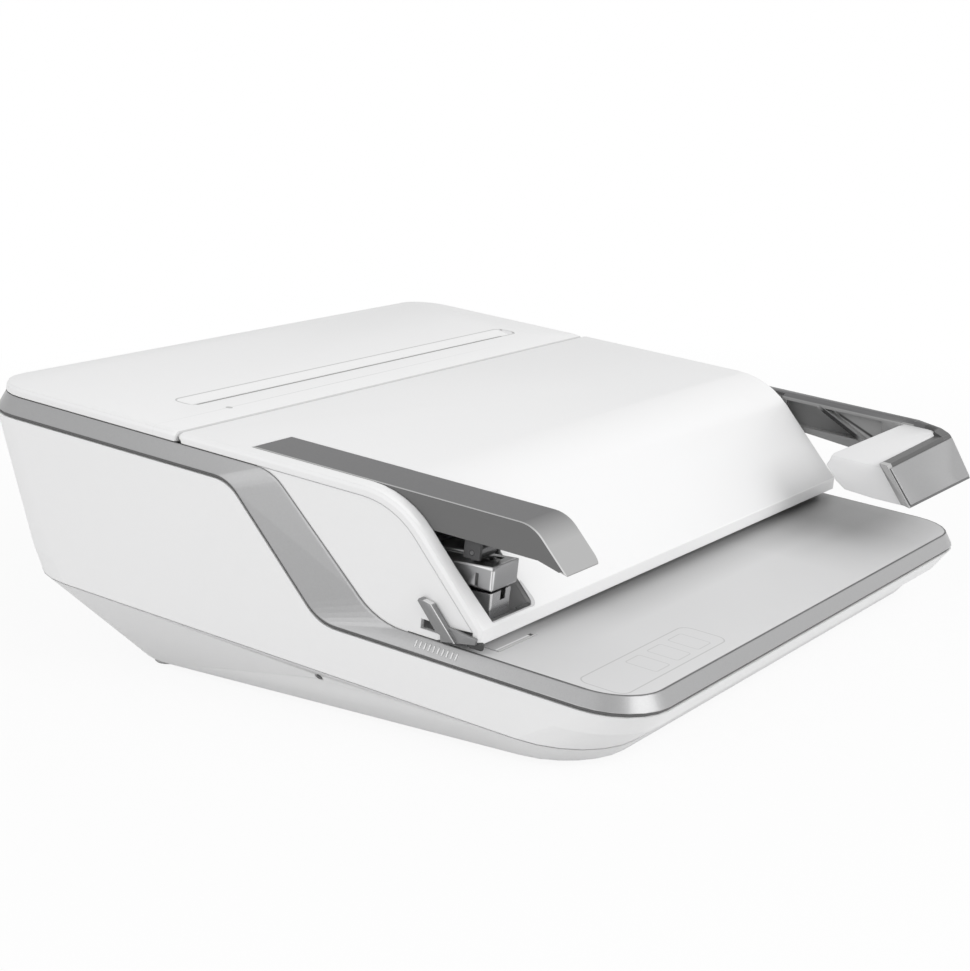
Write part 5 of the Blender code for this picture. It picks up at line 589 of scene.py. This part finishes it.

# two small holes in the top and a slot in the left side, filled with painted shade; the top painted
# darker, shading off at its front edge; painted highlights along the front and left edges
headLook = {
    "cuts": (
        {"centre": (-0.1750, 0.0967, 0.0370), "radius": 0.0012, "depth": 0.0020},
        {"centre": (-0.1703, 0.0964, 0.0370), "size": (0.0022, 0.0013, 0.0020)},
        {"centre": (-0.1879, 0.0956, 0.0301), "size": (0.0016, 0.0016, 0.0062)}),
    "rounds": (
        {"range": ((-0.1882, -0.1648), (0.0864, 0.0872), (0.0, 0.06)), "radius": 0.0010,
         "angle": 40.0},),
    "finish": {
        "tone": (0.36, 0.36, 0.365), "metal": 0.8, "bump": 0.01, "uneven": 0.02,
        "roughness": 0.32, "marks": (
            {"low": (-1.0, 0.0885, 0.0366), "high": (1.0, 1.0, 1.0),
             "blur": (0.0003, 0.0012, 0.0006), "tone": 0.10},
            {"low": (-0.1890, 0.0860, 0.010), "high": (-0.1866, 0.0881, 0.0360),
             "blur": (0.0005, 0.0005, 0.0005), "tone": 0.90},
            {"low": (-0.1890, 0.0875, 0.0362), "high": (-0.1870, 0.16, 0.0390),
             "blur": (0.0005, 0.0005, 0.0005), "tone": 0.80},
            {"low": (-0.1890, 0.0948, 0.0270), "high": (-0.1870, 0.0964, 0.0332), "tone": 0.10},
            {"centre": (-0.1750, 0.0967, 0.0), "half": (0.0013, 0.0011), "corner": 0.0010,
             "fill": True, "tone": 0.012},
            {"centre": (-0.1703, 0.0964, 0.0), "half": (0.0011, 0.0007), "corner": 0.0006,
             "fill": True, "tone": 0.012})}}

# the foot is trimmed to the tray; the finger has a painted highlight along its left edge and on its tip
depthLeverLook = {
    "trims": (((-0.2, 0.0935, 0.0028), (0.0, -0.184, -0.983)),),
    "rounds": ({"range": everywhere, "radius": 0.0005, "steps": 2, "angle": 30.0},),
    "finish": {"tone": (0.22, 0.22, 0.222), "marks": (
        {"low": (-0.2050, -1.0, 0.0), "high": (-0.2044, 0.112, 1.0),
         "blur": (0.0001, 0.0003, 0.0003), "tone": 0.80},
        {"low": (-0.2050, 0.1085, 0.0180), "high": (-0.2010, 0.1130, 1.0),
         "blur": (0.0001, 0.0006, 0.0003), "tone": 0.70})}}

gripLook = {"rounds": ({"range": everywhere, "radius": 0.0012, "angle": 40.0},), "smooth": 50.0}

frontPlateLook = {
    "rounds": ({"range": everywhere, "radius": 0.0004, "steps": 2},),
    "finish": {"tone": (0.300, 0.300, 0.303)}}

# painted light and shade by zones: the pocket and its rim lighter, the nose's top darker, the end face
# lighter, the leaning rib lighter, and its two slits as painted shadow
armLook = {"finish": {"marks": (
    {"low": (0.2034, 0.0400, -1.0), "high": (0.2076, 0.40, 0.0535), "tone": 0.28},
    {"low": (0.2010, 0.0400, -1.0), "high": (0.2032, 0.40, 1.0), "tone": 0.22},
    {"low": (0.1180, -1.0, 0.0440), "high": (1.0, 0.0330, 1.0), "tone": 0.065},
    {"low": (-1.0, -1.0, -1.0), "high": (0.1192, 0.05, 1.0), "tone": 0.40},
    {"low": (0.2026, 0.0640, 0.0050), "high": (0.2072, 0.0935, 0.0078), "slope": 0.48,
     "tone": 0.36},
    {"low": (0.2010, 0.0716, 0.0026), "high": (0.2036, 0.0985, 0.0055), "slope": 0.48,
     "blur": (0.0002, 0.004, 0.0004), "tone": 0.010},
    {"low": (0.2062, 0.0630, 0.0142), "high": (0.2080, 0.0890, 0.0158), "slope": 0.39,
     "blur": (0.0002, 0.004, 0.0008), "tone": 0.012})}}

dressLooks = {
    "lower_shell": {}, "base_pan": basePanLook, "seam_strip": seamStripLook,
    "trim_band": trimBandLook, "left_cheek": {}, "right_cheek": {}, "chip_drawer": {},
    "work_tray": trayLook, "rear_top_cover": coverLook, "lid": lidLook,
    "staple_anvil": anvilLook, "magazine": magazineLook, "stapler_lever": leverLook,
    "driver_arm": headLook, "staple_depth_lever": depthLeverLook, "handle_grip": gripLook,
    "handle_front_plate": frontPlateLook, "handle_arm": armLook}
for nodeName, look in dressLooks.items():
    dressNode(nodeName, look)
print("dressed pieces:", len(dressLooks))


# the depth lever's ticks
def makeTickNodes():
    # a row of flat bars: Start, Step, Count and Size give the row, Turn lays each bar on its face
    tree = bpy.data.node_groups.new("tickRow", "GeometryNodeTree")
    for label, kind, value in (
            ("Count", "NodeSocketInt", 10),
            ("Start", "NodeSocketVector", (0.0, 0.0, 0.0)),
            ("Step", "NodeSocketVector", (0.0, 0.001, 0.0)),
            ("Size", "NodeSocketVector", (0.0001, 0.0004, 0.003)),
            ("Turn", "NodeSocketVector", (0.0, 0.0, 0.0)),
            ("Finish", "NodeSocketMaterial", None)):
        socket = tree.interface.new_socket(label, in_out="INPUT", socket_type=kind)
        if value is not None:
            socket.default_value = value
    tree.interface.new_socket("Geometry", in_out="OUTPUT", socket_type="NodeSocketGeometry")
    inside = tree.nodes.new("NodeGroupInput")
    outside = tree.nodes.new("NodeGroupOutput")
    row = addNode(tree, "GeometryNodeMeshLine", {
        "Count": inside.outputs["Count"], "Start Location": inside.outputs["Start"],
        "Offset": inside.outputs["Step"]})
    bar = addNode(tree, "GeometryNodeMeshCube", {"Size": inside.outputs["Size"]})
    spread = addNode(tree, "GeometryNodeInstanceOnPoints", {
        "Points": row.outputs["Mesh"], "Instance": bar.outputs["Mesh"],
        "Rotation": inside.outputs["Turn"]})
    real = addNode(tree, "GeometryNodeRealizeInstances", {0: spread.outputs[0]})
    paint = addNode(tree, "GeometryNodeSetMaterial", {
        "Geometry": real.outputs[0], "Material": inside.outputs["Finish"]})
    tree.links.new(paint.outputs[0], outside.inputs[0])
    return tree


def tickRow(name, body, material, look):
    # evaluates the node tree once and keeps a plain mesh
    carrier = bpy.data.objects.new(name + "_carrier", bpy.data.meshes.new(name + "_carrier"))
    bpy.context.scene.collection.objects.link(carrier)
    modifier = carrier.modifiers.new("row", "NODES")
    modifier.node_group = makeTickNodes()
    values = {**look, "Finish": material}
    for item in modifier.node_group.interface.items_tree:
        if item.in_out == "INPUT":
            modifier[item.identifier] = values[item.name]
    bpy.context.view_layer.update()
    evaluated = carrier.evaluated_get(bpy.context.evaluated_depsgraph_get())
    mesh = bpy.data.meshes.new_from_object(evaluated)
    carrier.modifiers.clear()
    bpy.data.objects.remove(carrier)
    mesh.name = name
    mesh.transform(deckMatrix)
    newPiece(name, mesh, body, material)


tickFinish = variantFinish("tick_finish", "light_grey_plastic", {"tone": (0.90, 0.90, 0.90)})
tickLook = {"Count": 10, "Start": (-0.20292, 0.1157, -0.0033), "Step": (-0.00003, -0.00254, -0.00003),
            "Size": (0.00020, 0.00075, 0.0034), "Turn": (0.0, math.radians(32.0), 0.0)}
tickRow("depth_ticks", "case", tickFinish, tickLook)


# the dark shoe under the lid's left corner
def roundedBlock(name, body, material, look):
    build = bmesh.new()
    addBox(build, look["size"])
    bmesh.ops.bevel(build, geom=build.edges[:], offset=look["radius"], segments=look["steps"],
                    affect="EDGES", profile=0.5)
    layOnDeck(build, look["centre"])
    mesh = meshFrom(build, name)
    shadeSmooth(mesh)
    newPiece(name, mesh, body, material)


shoeFinish = variantFinish("shoe_finish", "dark_grey_plastic", {"tone": (0.05, 0.05, 0.05)})
shoeLook = {"size": (0.0026, 0.0085, 0.0042), "radius": 0.0012, "steps": 4,
            "centre": (-0.1996, 0.0852, 0.0036)}
roundedBlock("slide_shoe", "case", shoeFinish, shoeLook)


# the screw in the undercut's recess
def screwHead(name, body, material, look):
    # rings of reach and height give a low head with a sunk middle, turned to its face
    sides = look["sides"]
    build = bmesh.new()
    rings = []
    for reach, height in look["profile"]:
        turns = [math.tau * step / sides for step in range(sides)]
        rings.append([build.verts.new((reach * math.cos(turn), reach * math.sin(turn), height))
                      for turn in turns])
    for lower, upper in zip(rings, rings[1:]):
        for step in range(sides):
            after = (step + 1) % sides
            build.faces.new((lower[step], lower[after], upper[after], upper[step]))
    build.faces.new(rings[-1])
    build.faces.new(rings[0][::-1])
    layOnDeck(build, look["centre"], facingTurn(look["facing"]))
    mesh = meshFrom(build, name)
    shadeSmooth(mesh, look["smooth"])
    newPiece(name, mesh, body, material)


screwLook = {**screwSpot, "sides": 24, "smooth": 30.0, "profile": (
    (0.0016, -0.0004), (0.0016, 0.0002), (0.0012, 0.0004), (0.0006, 0.0004), (0.0004, 0.0001))}
screwHead("side_screw", "case", materials["dark_grey_plastic"], screwLook)


# the grey wall inside the window, on the magazine's right
def wallPlate(name, body, material, look):
    # an outline in the deck's y and z, standing between two x values
    build = bmesh.new()
    near, far = ([build.verts.new(deckPoint(x, y, z)) for y, z in look["outline"]]
                 for x in look["sides"])
    build.faces.new(near)
    build.faces.new(far[::-1])
    for corner in range(len(near)):
        after = (corner + 1) % len(near)
        build.faces.new((near[after], near[corner], far[corner], far[after]))
    bmesh.ops.recalc_face_normals(build, faces=build.faces)
    newPiece(name, meshFrom(build, name), body, material)


linerFinish = variantFinish("liner_finish", "light_grey_plastic", {"tone": (0.52, 0.52, 0.523)})
linerLook = {"sides": (-0.15420, -0.15320), "outline": (
    (0.0848, 0.0058), (0.0965, 0.0058), (0.1040, 0.0115), (0.1040, 0.0322), (0.0864, 0.0146),
    (0.0848, 0.0120))}
wallPlate("window_liner", "lid", linerFinish, linerLook)


# the chamfered lip round the window's lower right corner
def bezelSides(look):
    # inner and outer line of the lip, as places across and up the lid's slope
    right, corner, lip, sill = look["right"], look["corner"], look["lip"], look["sill"]
    inner = [(look["left"], 0.0)]
    outer = [(look["left"], -sill)]
    for step in range(look["steps"] + 1):
        share = step / look["steps"]
        turn = math.radians(-90.0 + 90.0 * share)
        wide, high = math.cos(turn), math.sin(turn)
        below = corner + sill + (lip - sill) * share
        inner.append((right - corner + corner * wide, corner + corner * high))
        outer.append((right - corner + (corner + lip) * wide, corner + below * high))
    inner.append((right, look["rise"]))
    outer.append((right + lip * 0.5, look["rise"]))
    return inner, outer


def windowBezel(name, body, material, look):
    footDepth, footHeight = look["foot"]
    slope = math.sqrt(0.5)  # the lid's front leans back by 45 degrees
    build = bmesh.new()
    levels = [[[build.verts.new(deckPoint(across, footDepth + (rise - depth) * slope,
                                          footHeight + (rise + depth) * slope))
                for across, rise in side] for side in bezelSides(look)]
              for depth in (-look["below"], look["proud"])]
    (innerLow, outerLow), (innerHigh, outerHigh) = levels
    for a in range(len(innerLow) - 1):
        b = a + 1
        build.faces.new((innerHigh[a], outerHigh[a], outerHigh[b], innerHigh[b]))
        build.faces.new((innerLow[b], outerLow[b], outerLow[a], innerLow[a]))
        build.faces.new((innerLow[a], innerHigh[a], innerHigh[b], innerLow[b]))
        build.faces.new((outerHigh[a], outerLow[a], outerLow[b], outerHigh[b]))
    build.faces.new((innerLow[0], outerLow[0], outerHigh[0], innerHigh[0]))
    build.faces.new((innerHigh[-1], outerHigh[-1], outerLow[-1], innerLow[-1]))
    bmesh.ops.recalc_face_normals(build, faces=build.faces)
    newPiece(name, meshFrom(build, name), body, material)


bezelFinish = variantFinish("bezel_finish", "light_grey_plastic", {"tone": (0.56, 0.56, 0.563)})
bezelLook = {"left": -0.1900, "right": -0.1543, "rise": 0.013, "corner": 0.0034, "lip": 0.0030,
             "sill": 0.0007, "steps": 8, "foot": (0.0832, 0.0133), "below": 0.0006,
             "proud": 0.00006}
windowBezel("window_bezel", "lid", bezelFinish, bezelLook)
print("small pieces built")


# the studio: white all round where it is looked at, soft light on the machine
def seenDirectly(tree):
    # 1 for what the camera sees itself, in a mirror or through glass
    path = tree.nodes.new("ShaderNodeLightPath")
    seen = mathNode(tree, "MAXIMUM", path.outputs["Is Camera Ray"],
                    path.outputs["Is Transmission Ray"], clamp=True)
    return mathNode(tree, "MAXIMUM", seen, path.outputs["Is Glossy Ray"], clamp=True)


plainWhite = (1.0, 1.0, 1.0, 1.0)
worldLook = {"light": 0.71, "shown": 1.0}


def makeWorld(look):
    world = bpy.data.worlds.new("studio")
    bpy.context.scene.world = world
    world.use_nodes = True
    tree = world.node_tree
    tree.nodes.clear()
    light = addNode(tree, "ShaderNodeBackground", {"Color": plainWhite, "Strength": look["light"]})
    shown = addNode(tree, "ShaderNodeBackground", {"Color": plainWhite, "Strength": look["shown"]})
    mix = addNode(tree, "ShaderNodeMixShader", {
        0: seenDirectly(tree), 1: light.outputs[0], 2: shown.outputs[0]})
    addNode(tree, "ShaderNodeOutputWorld", {0: mix.outputs[0]})


# near the machine the floor glows a little less, so that its shadow shows
floorLook = {"half": 12.0, "tone": (0.78, 0.78, 0.78, 1.0), "roughness": 0.9, "glow": 1.0,
             "nearGlow": 0.91, "fadeFrom": 0.35, "fadeTo": 1.1}


def makeFloor(look):
    build = bmesh.new()
    bmesh.ops.create_grid(build, x_segments=1, y_segments=1, size=look["half"])
    mesh = meshFrom(build, "floor")
    floor = bpy.data.objects.new("floor", mesh)
    bpy.context.scene.collection.objects.link(floor)
    material = bpy.data.materials.new("floorWhite")
    material.use_nodes = True
    tree = material.node_tree
    shader = tree.nodes["Principled BSDF"]
    shader.inputs["Base Color"].default_value = look["tone"]
    shader.inputs["Roughness"].default_value = look["roughness"]
    shader.inputs["Specular IOR Level"].default_value = 0.0
    reach = vectorNode(tree, "LENGTH", objectPlace(tree), output=1)
    fade = addNode(tree, "ShaderNodeMapRange", {
        "Value": reach, "From Min": look["fadeFrom"], "From Max": look["fadeTo"],
        "To Min": look["nearGlow"], "To Max": 1.0})
    share = mathNode(tree, "MULTIPLY", seenDirectly(tree), fade.outputs[0])
    glow = addNode(tree, "ShaderNodeEmission", {"Strength": look["glow"]})
    mix = addNode(tree, "ShaderNodeMixShader", {0: share, 1: shader.outputs[0], 2: glow.outputs[0]})
    tree.links.new(mix.outputs[0], tree.nodes["Material Output"].inputs["Surface"])
    mesh.materials.append(material)


softboxes = {
    "frontBox": {"spot": (0.1, -1.9, 1.1), "size": (1.8, 1.2), "power": 23.5},
    "leftBox": {"spot": (-1.9, 0.3, 0.7), "size": (1.4, 1.0), "power": 9.0}}
softboxAim = (0.0, 0.0, 0.08)


def addSoftbox(name, look):
    light = bpy.data.lights.new(name, "AREA")
    light.shape = "RECTANGLE"
    light.size, light.size_y = look["size"]
    light.energy = look["power"]
    lamp = bpy.data.objects.new(name, light)
    lamp.location = look["spot"]
    aim = Vector(softboxAim) - Vector(look["spot"])
    lamp.rotation_euler = aim.to_track_quat("-Z", "Y").to_euler()
    bpy.context.scene.collection.objects.link(lamp)


makeWorld(worldLook)
makeFloor(floorLook)
for name, look in softboxes.items():
    addSoftbox(name, look)
print("studio ready")

# the camera stands where the photograph was taken from
cameraLook = {"spot": (-0.9757, -0.612662, 0.3270), "turn": (77.741, 0.0, -57.283),
              "lens": 77.23, "sensor": 36.0, "clip": (0.05, 50.0)}
cameraData = bpy.data.cameras.new("camera")
cameraData.lens = cameraLook["lens"]
cameraData.sensor_width = cameraLook["sensor"]
cameraData.clip_start, cameraData.clip_end = cameraLook["clip"]
camera = bpy.data.objects.new("camera", cameraData)
camera.location = cameraLook["spot"]
camera.rotation_euler = [math.radians(angle) for angle in cameraLook["turn"]]
bpy.context.scene.collection.objects.link(camera)
bpy.context.scene.camera = camera
bpy.context.scene.view_settings.view_transform = "Standard"
print("camera set")
